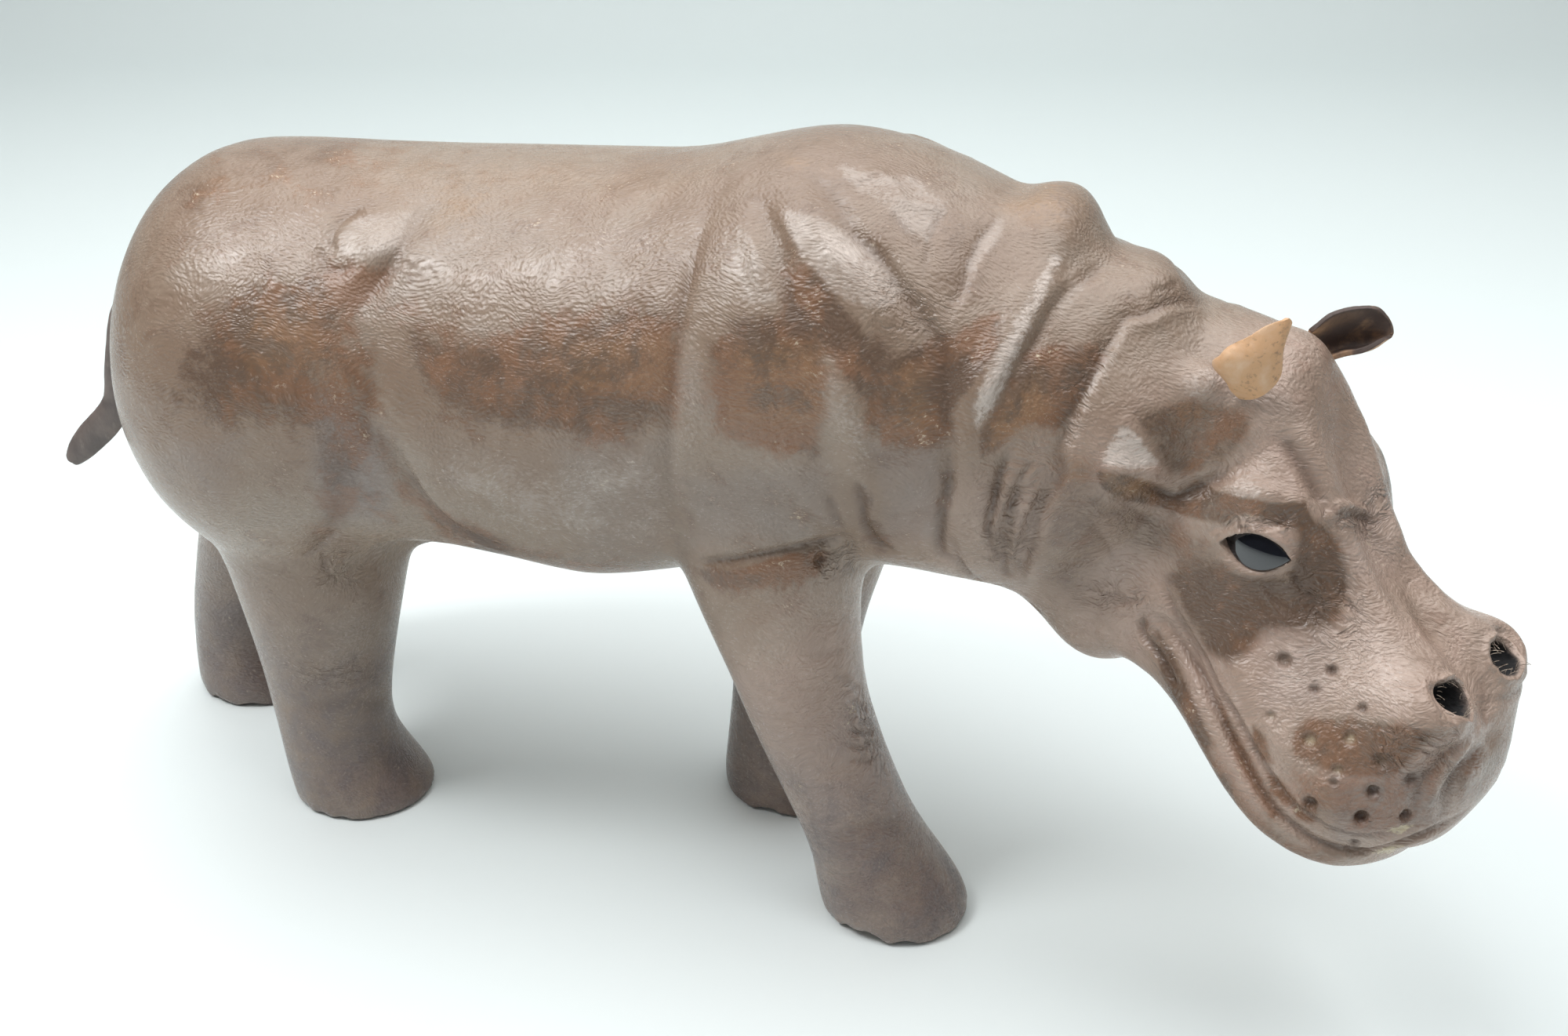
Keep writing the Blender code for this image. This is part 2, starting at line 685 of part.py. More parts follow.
def build_body(leather):
    """The moulded hide in one piece, carved, cut flat below, and its smooth surface's tree."""
    body = bpy.data.objects.new("body", rough_form())
    bpy.context.scene.collection.objects.link(body)
    remesh = body.modifiers.new("one hide", "REMESH")
    remesh.mode = "VOXEL"
    remesh.voxel_size = FORM_VOXEL
    applied(body)
    relax(body.data, SMOOTHING_ROUNDS)
    tree = body_tree(body.data)
    strokes = carving_strokes(tree)
    for side in (1, -1):
        out, main, cross = side_axes(side, EYE_FACING, EYE_LINE)
        outline = almond(EYE_LENGTH + 2 * LID_WIDTH * STEP, EYE_HEIGHT + 2 * LID_WIDTH * STEP)
        lids = np.array([eye_place(tree, side) + main * x + cross * y for x, y in outline])
        strokes.append(stroke(LID_WIDTH, -LID_RISE, lids, faded=False))
    set_coordinates(body.data, carve(coordinates(body.data), vertex_normals(body.data), strokes))
    thin_out(body)
    cut_soles(body.data)
    body.data.materials.clear()
    body.data.materials.append(leather)
    return body, tree


def build_eyes(body, tree, glass):
    for name, side in (("eye_right", 1), ("eye_left", -1)):
        axes = side_axes(side, EYE_FACING, EYE_LINE)
        place = eye_place(tree, side)
        pocket = new_object("pocket", eye_mesh(place, axes, FIT_GAP, 2 * EYE_DEPTH))
        cut_by(body, pocket)
        new_object(name, eye_mesh(place, axes, 0.0, -EYE_SINK), glass)


def build_ears(body, hide):
    for name, rows in (("ear_right", EAR_RIGHT), ("ear_left", EAR_LEFT)):
        grid = ear_grid(rows)
        slot = new_object("slot", sheet_mesh(grid, EAR_LEATHER + 2 * FIT_GAP, FIT_GAP * 1.5))
        cut_by(body, slot)
        new_object(name, sheet_mesh(grid, EAR_LEATHER), hide)


def build_tail(body, hide):
    cut_by(body, new_object("slot", tail_mesh(FIT_GAP)))
    new_object("tail", tail_mesh(0.0), hide)


def stand_on_origin():
    """Brings the middle of the figure's own box to X = Y = 0, with the soles left on Z = 0."""
    corners = []
    for thing in bpy.data.objects:
        corners += [vert.co.copy() for vert in thing.data.vertices]
    low = Vector([min(corner[axis] for corner in corners) for axis in range(3)])
    high = Vector([max(corner[axis] for corner in corners) for axis in range(3)])
    middle = (low + high) / 2
    shift = Vector((-middle.x, -middle.y, -low.z))
    for thing in bpy.data.objects:
        thing.data.transform(Matrix.Translation(shift))
    return shift


def main():
    clear_scene()
    leather = make_material("body leather", (0.17, 0.095, 0.06), 0.38)
    ear_hide = make_material("ear leather", (0.27, 0.13, 0.055), 0.6)
    tail_hide = make_material("tail leather", (0.13, 0.08, 0.06), 0.5)
    glass = make_material("eye glass", (0.012, 0.012, 0.014), 0.08)
    body, tree = build_body(leather)
    build_eyes(body, tree, glass)
    for side in (1, -1):
        cut_by(body, nostril_cutter(tree, side))
    build_ears(body, ear_hide)
    build_tail(body, tail_hide)
    return stand_on_origin()


FIGURE_SHIFT = main()
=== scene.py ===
import bpy
import bmesh
import numpy as np
from math import cos, sin, pi, radians
from mathutils import Matrix, Vector, noise
from mathutils.bvhtree import BVHTree


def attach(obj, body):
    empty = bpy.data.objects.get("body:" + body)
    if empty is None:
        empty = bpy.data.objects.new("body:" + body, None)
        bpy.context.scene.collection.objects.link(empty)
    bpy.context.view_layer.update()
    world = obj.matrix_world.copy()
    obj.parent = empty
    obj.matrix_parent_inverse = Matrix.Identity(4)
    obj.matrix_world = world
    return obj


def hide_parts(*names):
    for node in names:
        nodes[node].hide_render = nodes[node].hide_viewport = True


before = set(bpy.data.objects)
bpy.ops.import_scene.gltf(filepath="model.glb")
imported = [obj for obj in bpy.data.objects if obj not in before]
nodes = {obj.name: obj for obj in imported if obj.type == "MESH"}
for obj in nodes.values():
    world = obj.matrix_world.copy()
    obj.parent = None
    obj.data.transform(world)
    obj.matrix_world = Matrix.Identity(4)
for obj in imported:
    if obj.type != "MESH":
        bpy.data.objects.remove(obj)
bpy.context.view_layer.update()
mm = 0.001

# the camera, and what a pixel of the photograph looks at

camera = {
    "place": (0.13840, -0.35150, 0.29321),
    "turn": 19.0,          # degrees round Z, from looking along +Y
    "down": 27.0,
    "focal": 2000.0,       # in pixels of the photograph
    "wide": 2000.0, "high": 1321.0,
}


def cameraAxes():
    turn, down = radians(camera["turn"]), radians(camera["down"])
    right = Vector((cos(turn), sin(turn), 0.0))
    level = Vector((-sin(turn), cos(turn), 0.0))
    look = level * cos(down) - Vector((0, 0, sin(down)))
    up = level * sin(down) + Vector((0, 0, cos(down)))
    return right, up, look


def pixelRay(u, v):
    right, up, look = cameraAxes()
    across = (u - camera["wide"] / 2) / camera["focal"]
    rise = (camera["high"] / 2 - v) / camera["focal"]
    return (look + right * across + up * rise).normalized()


def toPixels(places):
    # where points of the object fall in the photograph
    right, up, look = (np.array(axis) for axis in cameraAxes())
    away = places - np.array(camera["place"])
    depth = away @ look
    u = camera["wide"] / 2 + camera["focal"] * (away @ right) / depth
    v = camera["high"] / 2 - camera["focal"] * (away @ up) / depth
    return u, v


def makeCamera():
    right, up, look = cameraAxes()
    data = bpy.data.cameras.new("camera")
    data.sensor_fit = "HORIZONTAL"
    data.sensor_width = 36.0
    data.lens = 36.0 * camera["focal"] / camera["wide"]
    data.clip_start = 0.01
    thing = newThing("camera", data)
    turned = Matrix((right, up, -look)).transposed().to_4x4()
    thing.matrix_world = Matrix.Translation(camera["place"]) @ turned
    bpy.context.scene.camera = thing


# the two halves of the animal

head = {
    "middle": (0.13801, -0.00585, 0.16268),    # between the ears
    "turn": -26.0,
    "drop": 45.0,
}
# the trunk's middle line seen from above: x, y in mm
spine = ((-167, -19.6), (-132.6, -10.8), (-94.7, -1.3), (-73.7, 3.0), (-52.6, 5.6), (-29.3, 6.4),
         (6.7, 6.4), (41.2, 5.3), (74.9, 3.0), (106.2, -1.3))


def headAxes():
    turn, drop = radians(head["turn"]), radians(head["drop"])
    level = Vector((cos(turn), sin(turn), 0.0))
    forward = level * cos(drop) - Vector((0, 0, sin(drop)))
    left = Vector((-sin(turn), cos(turn), 0.0))
    return forward, left, forward.cross(left)


def trunkMiddle(x):
    line = np.array(spine) * mm
    return np.interp(x, line[:, 0], line[:, 1])


def mirrored(places, half):
    # the same points on the other side of the trunk's or the head's middle plane
    places = np.array(places, dtype=float)
    if half == "head":
        left = np.array(headAxes()[1])
        off = (places - np.array(head["middle"])) @ left
        return places - 2 * off[..., None] * left
    places[..., 1] = 2 * trunkMiddle(places[..., 0]) - places[..., 1]
    return places


# mesh helpers

def coords(mesh):
    flat = np.empty(len(mesh.vertices) * 3)
    mesh.vertices.foreach_get("co", flat)
    return flat.reshape(-1, 3)


def setCoords(mesh, places):
    mesh.vertices.foreach_set("co", np.ascontiguousarray(places).ravel())
    mesh.update()


def pointNormals(mesh):
    flat = np.empty(len(mesh.vertices) * 3)
    mesh.vertices.foreach_get("normal", flat)
    return flat.reshape(-1, 3)


def bake(thing):
    # works the object's modifiers into a plain mesh
    graph = bpy.context.evaluated_depsgraph_get()
    mesh = bpy.data.meshes.new_from_object(thing.evaluated_get(graph))
    thing.modifiers.clear()
    thing.data = mesh
    return mesh


def modified(thing, kind, **settings):
    change = thing.modifiers.new(kind.lower(), kind)
    for name, value in settings.items():
        setattr(change, name, value)
    return bake(thing)


def newThing(name, data):
    # an object in the scene
    thing = bpy.data.objects.new(name, data)
    bpy.context.scene.collection.objects.link(thing)
    return thing


def opened(mesh):
    form = bmesh.new()
    form.from_mesh(mesh)
    return form


def written(form, mesh):
    # puts an edited form into its mesh
    form.to_mesh(mesh)
    form.free()
    return mesh


def treeOf(mesh):
    form = opened(mesh)
    tree = BVHTree.FromBMesh(form)
    form.free()
    return tree


def copyNode(name, newName):
    # a CAD node's mesh with its loose triangles joined up
    thing = newThing(newName, nodes[name].data.copy())
    form = opened(thing.data)
    bmesh.ops.remove_doubles(form, verts=form.verts, dist=1e-6)
    written(form, thing.data)
    thing.data.materials.clear()
    return thing


def smoothShaded(thing):
    thing.data.polygons.foreach_set("use_smooth", [True] * len(thing.data.polygons))
    thing.data.update()


def storeTone(mesh, name, values):
    layer = mesh.attributes.new(name, "FLOAT", "POINT")
    layer.data.foreach_set("value", np.clip(values, 0.0, 1.0).astype(np.float32))


def throughPoints(points, samples):
    # a smooth curve through points of any number of dimensions
    rows = [np.array(point, dtype=float) for point in points]
    rows = [2 * rows[0] - rows[1]] + rows + [2 * rows[-1] - rows[-2]]
    result = []
    for a, b, c, d in zip(rows, rows[1:], rows[2:], rows[3:]):
        for index in range(samples):
            t = index / samples
            result.append(0.5 * (2 * b + (c - a) * t + (2 * a - 5 * b + 4 * c - d) * t * t
                                 + (3 * b - a - 3 * c + d) * t ** 3))
    result.append(rows[-2])
    return np.array(result)


makeCamera()
bpy.context.scene.view_settings.view_transform = "Standard"
print("camera set")

# the hide's base: the CAD body with its sockets closed and its facets smoothed away

hideForm = {
    "socketReach": 0.45 * mm,    # a face this near a fitting on all corners is its socket
    "voxel": 0.85 * mm,
    "smoothRounds": 14,
    "triangles": 196000,
}
nape = {"pixel": (1390, 320), "radius": 22.0, "rounds": 140}
eyeNames = ("eye_right", "eye_left")
earNames = ("ear_right", "ear_left")


def closeSockets(thing):
    form = opened(thing.data)
    for name in eyeNames + earNames + ("tail",):
        fitting = treeOf(nodes[name].data)
        reach = hideForm["socketReach"]
        close = {vert for vert in form.verts
                 if fitting.find_nearest(vert.co, reach)[0] is not None}
        walls = [face for face in form.faces if all(vert in close for vert in face.verts)]
        bmesh.ops.delete(form, geom=walls, context="FACES")
    rims = [edge for edge in form.edges if edge.is_boundary]
    filled = bmesh.ops.holes_fill(form, edges=rims)["faces"]
    bmesh.ops.triangulate(form, faces=filled)
    bmesh.ops.recalc_face_normals(form, faces=form.faces)
    written(form, thing.data)


def keepLargest(thing):
    # drops the specks that the remesh leaves in the filled sockets
    form = opened(thing.data)
    left, islands = set(form.verts), []
    while left:
        island, front = set(), {left.pop()}
        while front:
            island |= front
            front = {other for vert in front for edge in vert.link_edges
                     for other in edge.verts} - island
        left -= island
        islands.append(island)
    islands.sort(key=len)
    for island in islands[:-1]:
        bmesh.ops.delete(form, geom=list(island), context="VERTS")
    written(form, thing.data)


def softenNape(hide):
    # melts the stiff ridge of the nape
    spot = treeOf(hide.data).ray_cast(Vector(camera["place"]), pixelRay(*nape["pixel"]))[0]
    gap = np.linalg.norm(coords(hide.data) - np.array(spot), axis=1) / (nape["radius"] * mm)
    group = hide.vertex_groups.new(name="nape")
    for index in np.nonzero(gap < 1.0)[0]:
        group.add([int(index)], float((1 - gap[index] ** 2) ** 2), "REPLACE")
    modified(hide, "SMOOTH", factor=0.5, iterations=nape["rounds"], vertex_group="nape")
    hide.vertex_groups.clear()


def makeBase():
    hide = copyNode("body", "hide")
    closeSockets(hide)
    modified(hide, "SUBSURF", levels=1, render_levels=1)
    modified(hide, "REMESH", mode="VOXEL", voxel_size=hideForm["voxel"])
    keepLargest(hide)
    modified(hide, "SMOOTH", factor=0.5, iterations=hideForm["smoothRounds"])
    softenNape(hide)
    return hide


hide = makeBase()
hideTree = treeOf(hide.data)
print("hide base:", len(hide.data.vertices), "points")

# strokes: folds, creases and ridges, drawn where the photograph shows them
# Each has its kind, the half of the animal that has the like fold on its other side, width,
# depth, lip and taper, then a line of photograph pixels, dropped on the hide. Sizes are in mm,
# the taper is a share of the line. The over side is to the right of a line that runs down the
# picture, or above one that runs right.

strokes = {
    # shoulder
    "behindShoulder": ("fold", "trunk", 1.8, 0.6, 0.3, 0.4, (930, 234), (909, 259), (893, 301),
        (880, 351), (867, 415), (859, 478), (853, 541), (855, 617), (862, 690)),
    "shoulderRidge": ("ridge", "trunk", 2.2, 0.6, 0.0, 0.5, (945, 262), (951, 284), (964, 330),
        (972, 372), (976, 410)),
    "shoulderGroove": ("crease", "trunk", 2.0, 0.45, 0.1, 0.5, (968, 246), (981, 288), (994, 330),
        (1010, 381), (1030, 450)),
    "foldAEdge": ("ridge", "trunk", 2.2, 0.6, 0.0, 0.5, (935, 240), (983, 255), (998, 276),
        (1015, 305), (1031, 335), (1055, 364), (1074, 389), (1099, 410), (1118, 440)),
    "foldALower": ("ridge", "trunk", 3.0, 0.7, 0.0, 0.4, (1050, 425), (1061, 457), (1073, 499),
        (1086, 541), (1099, 591), (1106, 630)),
    "deepV": ("fold", "trunk", 1.6, 0.8, 0.4, 0.35, (1006, 217), (1044, 234), (1069, 263),
        (1086, 293), (1107, 316), (1128, 335), (1145, 360), (1156, 377), (1183, 410), (1200, 440),
        (1208, 478), (1212, 524), (1214, 583), (1217, 617)),
    "vRightArm": ("fold", "trunk", 1.3, 0.5, 0.5, 0.3, (1280, 276), (1256, 300), (1236, 340),
        (1228, 366), (1221, 381), (1204, 402)),
    "humpRidge": ("ridge", "trunk", 1.5, 0.6, 0.0, 0.18, (1065, 213), (1086, 229), (1124, 221),
        (1158, 259), (1208, 265)),
    "humpWrinkleA": ("crease", "trunk", 1.0, 0.5, 0.0, 0.18, (1137, 267), (1162, 301), (1179, 318)),
    "humpWrinkleB": ("crease", "trunk", 1.0, 0.5, 0.0, 0.18, (1179, 356), (1187, 301), (1208, 267)),
    # neck
    "neckBand": ("ridge", "trunk", 4.0, 1.2, 0.0, 0.18, (1356, 328), (1325, 380), (1300, 421),
        (1273, 466), (1249, 500), (1225, 528)),
    "neckSecond": ("ridge", "trunk", 2.2, 0.5, 0.0, 0.18, (1386, 352), (1373, 369), (1345, 387),
        (1330, 420)),
    "neckGroove": ("crease", "trunk", 1.5, 0.45, 0.3, 0.18, (1421, 331), (1373, 366), (1345, 390),
        (1318, 438), (1294, 473), (1259, 541)),
    "napeWrinkle": ("crease", "trunk", 1.1, 0.5, 0.0, 0.18, (1470, 372), (1480, 368), (1490, 368),
        (1504, 359)),
    "neckHead": ("fold", "head", 1.3, 0.7, 0.5, 0.18, (1538, 387), (1490, 387), (1462, 400),
        (1435, 405), (1421, 428), (1404, 455), (1390, 486), (1373, 517), (1359, 555), (1352, 576),
        (1356, 600), (1346, 619), (1332, 646), (1322, 669), (1319, 692), (1308, 712), (1303, 735),
        (1299, 748)),
    "underJowl": ("crease", "head", 1.4, 0.8, 0.0, 0.18, (1303, 762), (1323, 778), (1336, 800),
        (1358, 816)),
    "breastFold": ("fold", "trunk", 1.3, 1.1, 0.5, 0.18, (1092, 612), (1098, 640), (1104, 668),
        (1118, 690), (1142, 704)),
    "breastInner": ("crease", "trunk", 1.0, 0.8, 0.2, 0.18, (1054, 628), (1064, 650), (1072, 676)),
    "throatD": ("crease", "trunk", 0.7, 0.7, 0.3, 0.18, (1322, 584), (1302, 610), (1291, 640),
        (1277, 680), (1272, 720)),
    "throatE": ("crease", "trunk", 0.6, 0.6, 0.3, 0.18, (1332, 622), (1313, 655), (1298, 700),
        (1292, 735)),
    "throatF": ("crease", "trunk", 0.7, 0.6, 0.3, 0.18, (1284, 588), (1274, 620), (1266, 650),
        (1258, 690)),
    "throatC": ("crease", "trunk", 1.1, 0.8, 0.3, 0.18, (1342, 612), (1322, 650), (1308, 690),
        (1300, 738)),
    "throatA": ("crease", "trunk", 1.2, 1.0, 0.2, 0.18, (1293, 570), (1279, 593), (1273, 613),
        (1268, 636), (1261, 659), (1261, 679), (1268, 712)),
    "throatB": ("crease", "trunk", 1.2, 1.0, 0.2, 0.18, (1313, 609), (1296, 633), (1289, 659),
        (1283, 686), (1281, 712), (1286, 742)),
    "lowerNeck": ("fold", "trunk", 1.4, 1.1, 0.3, 0.18, (1211, 556), (1211, 596), (1211, 623),
        (1201, 652), (1197, 679), (1201, 705), (1220, 715), (1230, 729), (1256, 745), (1279, 747),
        (1296, 744)),
    "lowerNeckBranch": ("crease", "trunk", 1.1, 0.6, 0.0, 0.18, (1205, 676), (1216, 692),
        (1221, 712), (1233, 732), (1260, 737)),
    # hip and belly
    "hipUpper": ("crease", "trunk", 2.4, 0.7, 0.15, 0.4, (545, 262), (540, 272), (523, 297),
        (507, 323), (487, 353), (473, 373), (460, 397), (452, 418)),
    "hipLower": ("crease", "trunk", 2.6, 0.7, 0.2, 0.4, (455, 410), (462, 435), (475, 489),
        (466, 527), (479, 557), (504, 578), (520, 605), (533, 632)),
    "knobRim": ("ridge", "trunk", 2.0, 0.55, 0.0, 0.18, (434, 322), (435, 300), (453, 283),
        (474, 275), (500, 275)),
    "knobEdge": ("crease", "trunk", 1.5, 0.6, 0.0, 0.18, (424, 322), (425, 298), (441, 277),
        (465, 265)),
    "knobDent": ("crease", "trunk", 1.6, 0.6, 0.0, 0.18, (409, 312), (413, 338), (430, 344),
        (450, 340)),
    "groin": ("crease", "trunk", 1.6, 1.0, 0.3, 0.18, (510, 588), (523, 608), (540, 634),
        (556, 651), (575, 668), (597, 681), (618, 690), (651, 701)),
    "thighCrease": ("crease", None, 1.4, 0.7, 0.0, 0.18, (380, 712), (397, 705), (412, 694),
        (434, 677)),
    "thighFold": ("crease", None, 1.2, 0.5, 0.0, 0.18, (410, 703), (419, 729), (430, 751)),
    "hindAnkle": ("crease", None, 3.0, 0.7, 0.0, 0.3, (378, 906), (420, 900), (460, 897), (496, 902)),
    "hindShin": ("crease", None, 4.0, 0.7, 0.0, 0.4, (428, 590), (432, 640), (418, 680), (385, 706)),
    "hindLine": ("crease", None, 0.9, 0.4, 0.0, 0.18, (455, 640), (478, 628), (492, 632), (490, 645)),
    "foreWrinkleA": ("crease", None, 0.9, 0.4, 0.15, 0.18, (1062, 858), (1080, 868), (1100, 880)),
    "foreWrinkleB": ("crease", None, 0.8, 0.35, 0.15, 0.18, (1072, 884), (1090, 896), (1110, 908)),
    "foreWrinkleC": ("crease", None, 0.9, 0.5, 0.15, 0.18, (1082, 926), (1098, 934), (1116, 932)),
    "foreWrinkleD": ("crease", None, 0.9, 0.5, 0.15, 0.18, (1078, 948), (1100, 950), (1120, 944)),
    "foreWrinkleE": ("crease", None, 0.8, 0.4, 0.15, 0.18, (1082, 966), (1102, 970), (1120, 964)),
    "foreKnee": ("crease", None, 1.4, 0.4, 0.0, 0.18, (1030, 838), (1055, 834), (1078, 828)),
    "foreAnkle": ("crease", None, 3.0, 0.6, 0.0, 0.4, (1060, 1078), (1095, 1056), (1130, 1050),
        (1165, 1062)),
    "legTop": ("fold", "trunk", 1.3, 1.0, 0.5, 0.18, (885, 716), (898, 717), (945, 712), (995, 702),
        (1040, 692), (1079, 681)),
    # head
    "facetLower": ("ridge", "head", 3.0, 1.5, 0.0, 0.3, (1396, 597), (1420, 599), (1450, 602),
        (1484, 600)),
    "facetEdge": ("ridge", "head", 1.6, 0.6, 0.0, 0.18, (1428, 530), (1442, 545), (1459, 569),
        (1473, 586)),
    "browEdge": ("fold", "head", 1.7, 0.9, 0.9, 0.18, (1445, 610), (1468, 623), (1498, 633),
        (1515, 628), (1541, 617), (1561, 608), (1578, 598)),
    "browHighlight": ("ridge", "head", 2.2, 0.8, 0.0, 0.18, (1545, 628), (1575, 622), (1610, 625),
        (1635, 640)),
    "lidFold": ("crease", "head", 0.7, 0.5, 0.2, 0.18, (1568, 676), (1586, 672), (1610, 670),
        (1632, 669), (1645, 660)),
    "lidFoldUpper": ("crease", "head", 0.6, 0.35, 0.0, 0.18, (1600, 664), (1624, 661), (1644, 654)),
    "underBrowA": ("crease", "head", 0.9, 0.5, 0.0, 0.18, (1432, 639), (1455, 656), (1472, 669)),
    "underBrowB": ("crease", "head", 0.9, 0.4, 0.0, 0.18, (1485, 639), (1505, 666)),
    "foreheadGroove": ("crease", None, 1.8, 1.4, 0.5, 0.18, (1634, 556), (1651, 579), (1668, 606),
        (1681, 629), (1691, 646)),
    "bridgeStart": ("ridge", None, 1.5, 0.9, 0.0, 0.18, (1690, 668), (1712, 648), (1740, 656),
        (1762, 690)),
    "foreheadWrinkle": ("crease", None, 1.0, 0.9, 0.3, 0.18, (1697, 662), (1718, 655), (1746, 665),
        (1764, 676)),
    "socketRidge": ("ridge", None, 1.4, 0.6, 0.0, 0.18, (1640, 625), (1658, 646), (1675, 668),
        (1686, 690)),
    "bridgeEdge": ("ridge", "head", 2.6, 0.8, 0.0, 0.18, (1758, 690), (1762, 715), (1774, 745),
        (1792, 780), (1816, 820), (1841, 851), (1855, 865)),
    "philtrum": ("crease", None, 2.4, 1.5, 0.3, 0.35, (1908, 945), (1890, 957), (1870, 975),
        (1852, 1000), (1844, 1030), (1846, 1048)),
    "philtrumEdge": ("ridge", None, 1.8, 0.9, 0.0, 0.3, (1884, 925), (1866, 952), (1845, 980),
        (1828, 1008), (1824, 1040)),
    "philtrumFold": ("crease", None, 1.2, 0.7, 0.0, 0.3, (1862, 940), (1840, 968), (1818, 990),
        (1806, 1020), (1808, 1042)),
    "noseFold": ("crease", None, 2.4, 0.8, 0.0, 0.4, (1888, 850), (1893, 880), (1895, 910),
        (1890, 935)),
    "muzzleValley": ("crease", "head", 1.6, 0.5, 0.0, 0.18, (1801, 942), (1817, 949), (1843, 943),
        (1862, 932)),
    "underNostril": ("crease", "head", 1.3, 0.7, 0.2, 0.18, (1802, 955), (1830, 962), (1858, 953),
        (1878, 930), (1884, 905)),
    "nostrilRim": ("ridge", "head", 1.0, 0.5, 0.0, 0.18, (1874, 884), (1881, 900), (1880, 920),
        (1872, 936)),
    # cheek and mouth
    "cheekA": ("crease", "head", 0.7, 0.45, 0.0, 0.18, (1412, 768), (1432, 768), (1462, 763)),
    "cheekB": ("crease", "head", 0.7, 0.35, 0.0, 0.18, (1419, 755), (1445, 752)),
    "cheekC": ("crease", "head", 1.0, 0.4, 0.0, 0.18, (1392, 666), (1412, 692), (1425, 719)),
    "mouthFold": ("crease", "head", 1.0, 0.8, 0.3, 0.18, (1486, 742), (1492, 762), (1502, 784),
        (1512, 803), (1525, 829), (1536, 852)),
    "lipOuter": ("crease", "head", 0.9, 1.2, 0.4, 0.18, (1462, 782), (1457, 798), (1460, 812),
        (1470, 823), (1482, 840), (1492, 860), (1503, 880)),
    "underEyeA": ("crease", "head", 0.7, 0.8, 0.0, 0.18, (1645, 728), (1666, 756), (1683, 770)),
    "underEyeB": ("ridge", "head", 0.7, 0.7, 0.0, 0.18, (1606, 746), (1622, 768), (1644, 799)),
    "underEyeC": ("crease", "head", 0.7, 0.7, 0.0, 0.18, (1666, 763), (1694, 795), (1725, 813)),
    "underEyeD": ("crease", "head", 0.7, 0.65, 0.0, 0.18, (1708, 742), (1722, 770), (1739, 785)),
    "mouth": ("crease", "head", 1.0, 1.4, 0.5, 0.18, (1463, 779), (1480, 790), (1494, 798),
        (1504, 813), (1517, 834), (1535, 862), (1550, 897), (1567, 932), (1588, 970), (1606, 1002),
        (1627, 1032), (1648, 1051), (1673, 1069), (1701, 1080), (1729, 1084), (1757, 1081),
        (1792, 1072), (1823, 1060), (1852, 1046), (1873, 1030)),
    "upperLip": ("fold", "head", 0.8, 1.0, 0.5, 0.18, (1499, 783), (1512, 798), (1525, 819),
        (1540, 844), (1555, 877), (1576, 910), (1593, 941), (1611, 972), (1632, 1003), (1651, 1026),
        (1669, 1038), (1693, 1053), (1727, 1063), (1764, 1062), (1790, 1054), (1812, 1042)),
    "lipCut": ("crease", None, 0.4, 0.6, 0.0, 0.18, (1686, 1084), (1686, 1090), (1687, 1097)),
}

# soft bumps and dents: pixel, radius mm, height mm, half
mounds = {
    "temple": ((1531, 488), 4.6, 1.7, "head"),
    "hipKnob": ((480, 306), 7.0, 0.5, "trunk"),
    "leftBrow": ((1771, 683), 5.0, 1.0, None),
    "crown": ((1664, 440), 7.0, 2.0, None),
    "nostrilBump": ((1887, 799), 3.5, 0.8, None),
    "nostrilHill": ((1852, 905), 6.5, 0.8, "head"),
    "upperLipPad": ((1745, 1010), 10.0, 0.9, "head"),
    "lipNotch": ((1905, 941), 2.6, -1.0, None),
    "legPit": ((1046, 714), 1.6, -1.4, "trunk"),
}

# whisker pits: pixel, radius mm, depth mm, how pale its middle is painted; the pale middle is a
# painted lit floor and the rest of the pit gets painted shade
whiskerPits = (
    ((1638, 842), 1.9, 1.3, 0.3), ((1699, 855), 1.4, 1.1, 0.0), ((1677, 879), 1.3, 0.8, 0.0),
    ((1621, 913), 1.3, 0.8, 0.6), ((1738, 903), 1.2, 0.8, 0.0), ((1671, 944), 1.8, 1.0, 1.0),
    ((1722, 942), 1.7, 1.0, 1.0), ((1761, 971), 1.8, 0.9, 0.3), ((1706, 982), 1.6, 0.8, 0.7),
    ((1702, 998), 1.1, 0.8, 0.2), ((1751, 1007), 1.7, 1.2, 0.0), ((1672, 1024), 1.8, 1.4, 0.1),
    ((1736, 1040), 1.8, 1.7, 0.0), ((1792, 1038), 1.6, 1.4, 0.1), ((1728, 1072), 1.1, 0.8, 0.0),
    ((1800, 993), 1.8, 0.7, 0.0),
)


# how a line of pixels is dropped: samples between pixels, the longest step that still follows
# the surface, the even spacing of its points, and their least number
dropped = {"samples": 10, "leap": 6 * mm, "spacing": 0.7 * mm, "fewest": 4}


def dropPixels(pixels):
    # photograph pixels to points on the hide, evenly spaced
    eye = Vector(camera["place"])
    dense = np.array(pixels, dtype=float)
    if len(pixels) > 1:
        dense = throughPoints(pixels, dropped["samples"])
    hits = []
    for u, v in dense:
        place = hideTree.ray_cast(eye, pixelRay(u, v))[0]
        if place is not None and (not hits or (place - hits[-1]).length < dropped["leap"]):
            hits.append(place)
    hits = np.array(hits)
    if len(hits) < 3:
        return hits
    steps = np.linalg.norm(np.diff(hits, axis=0), axis=1)
    run = np.concatenate([[0.0], np.cumsum(steps)])
    even = np.linspace(0.0, run[-1], max(int(run[-1] / dropped["spacing"]), dropped["fewest"]))
    return np.column_stack([np.interp(even, run, hits[:, axis]) for axis in range(3)])


def onHide(places):
    # nearest points of the hide, and its normals there
    found = [hideTree.find_nearest(Vector(place)) for place in places]
    return np.array([hit[0] for hit in found]), np.array([hit[1] for hit in found])


# how sharp a groove is, and where its lip stands and how broad it is, in stroke widths
creaseProfile = {"sharp": 1.3, "lipAt": 1.9, "lipWide": 0.9}
foldProfile = {"sharp": 1.2, "lipAt": 1.7, "lipWide": 1.1}


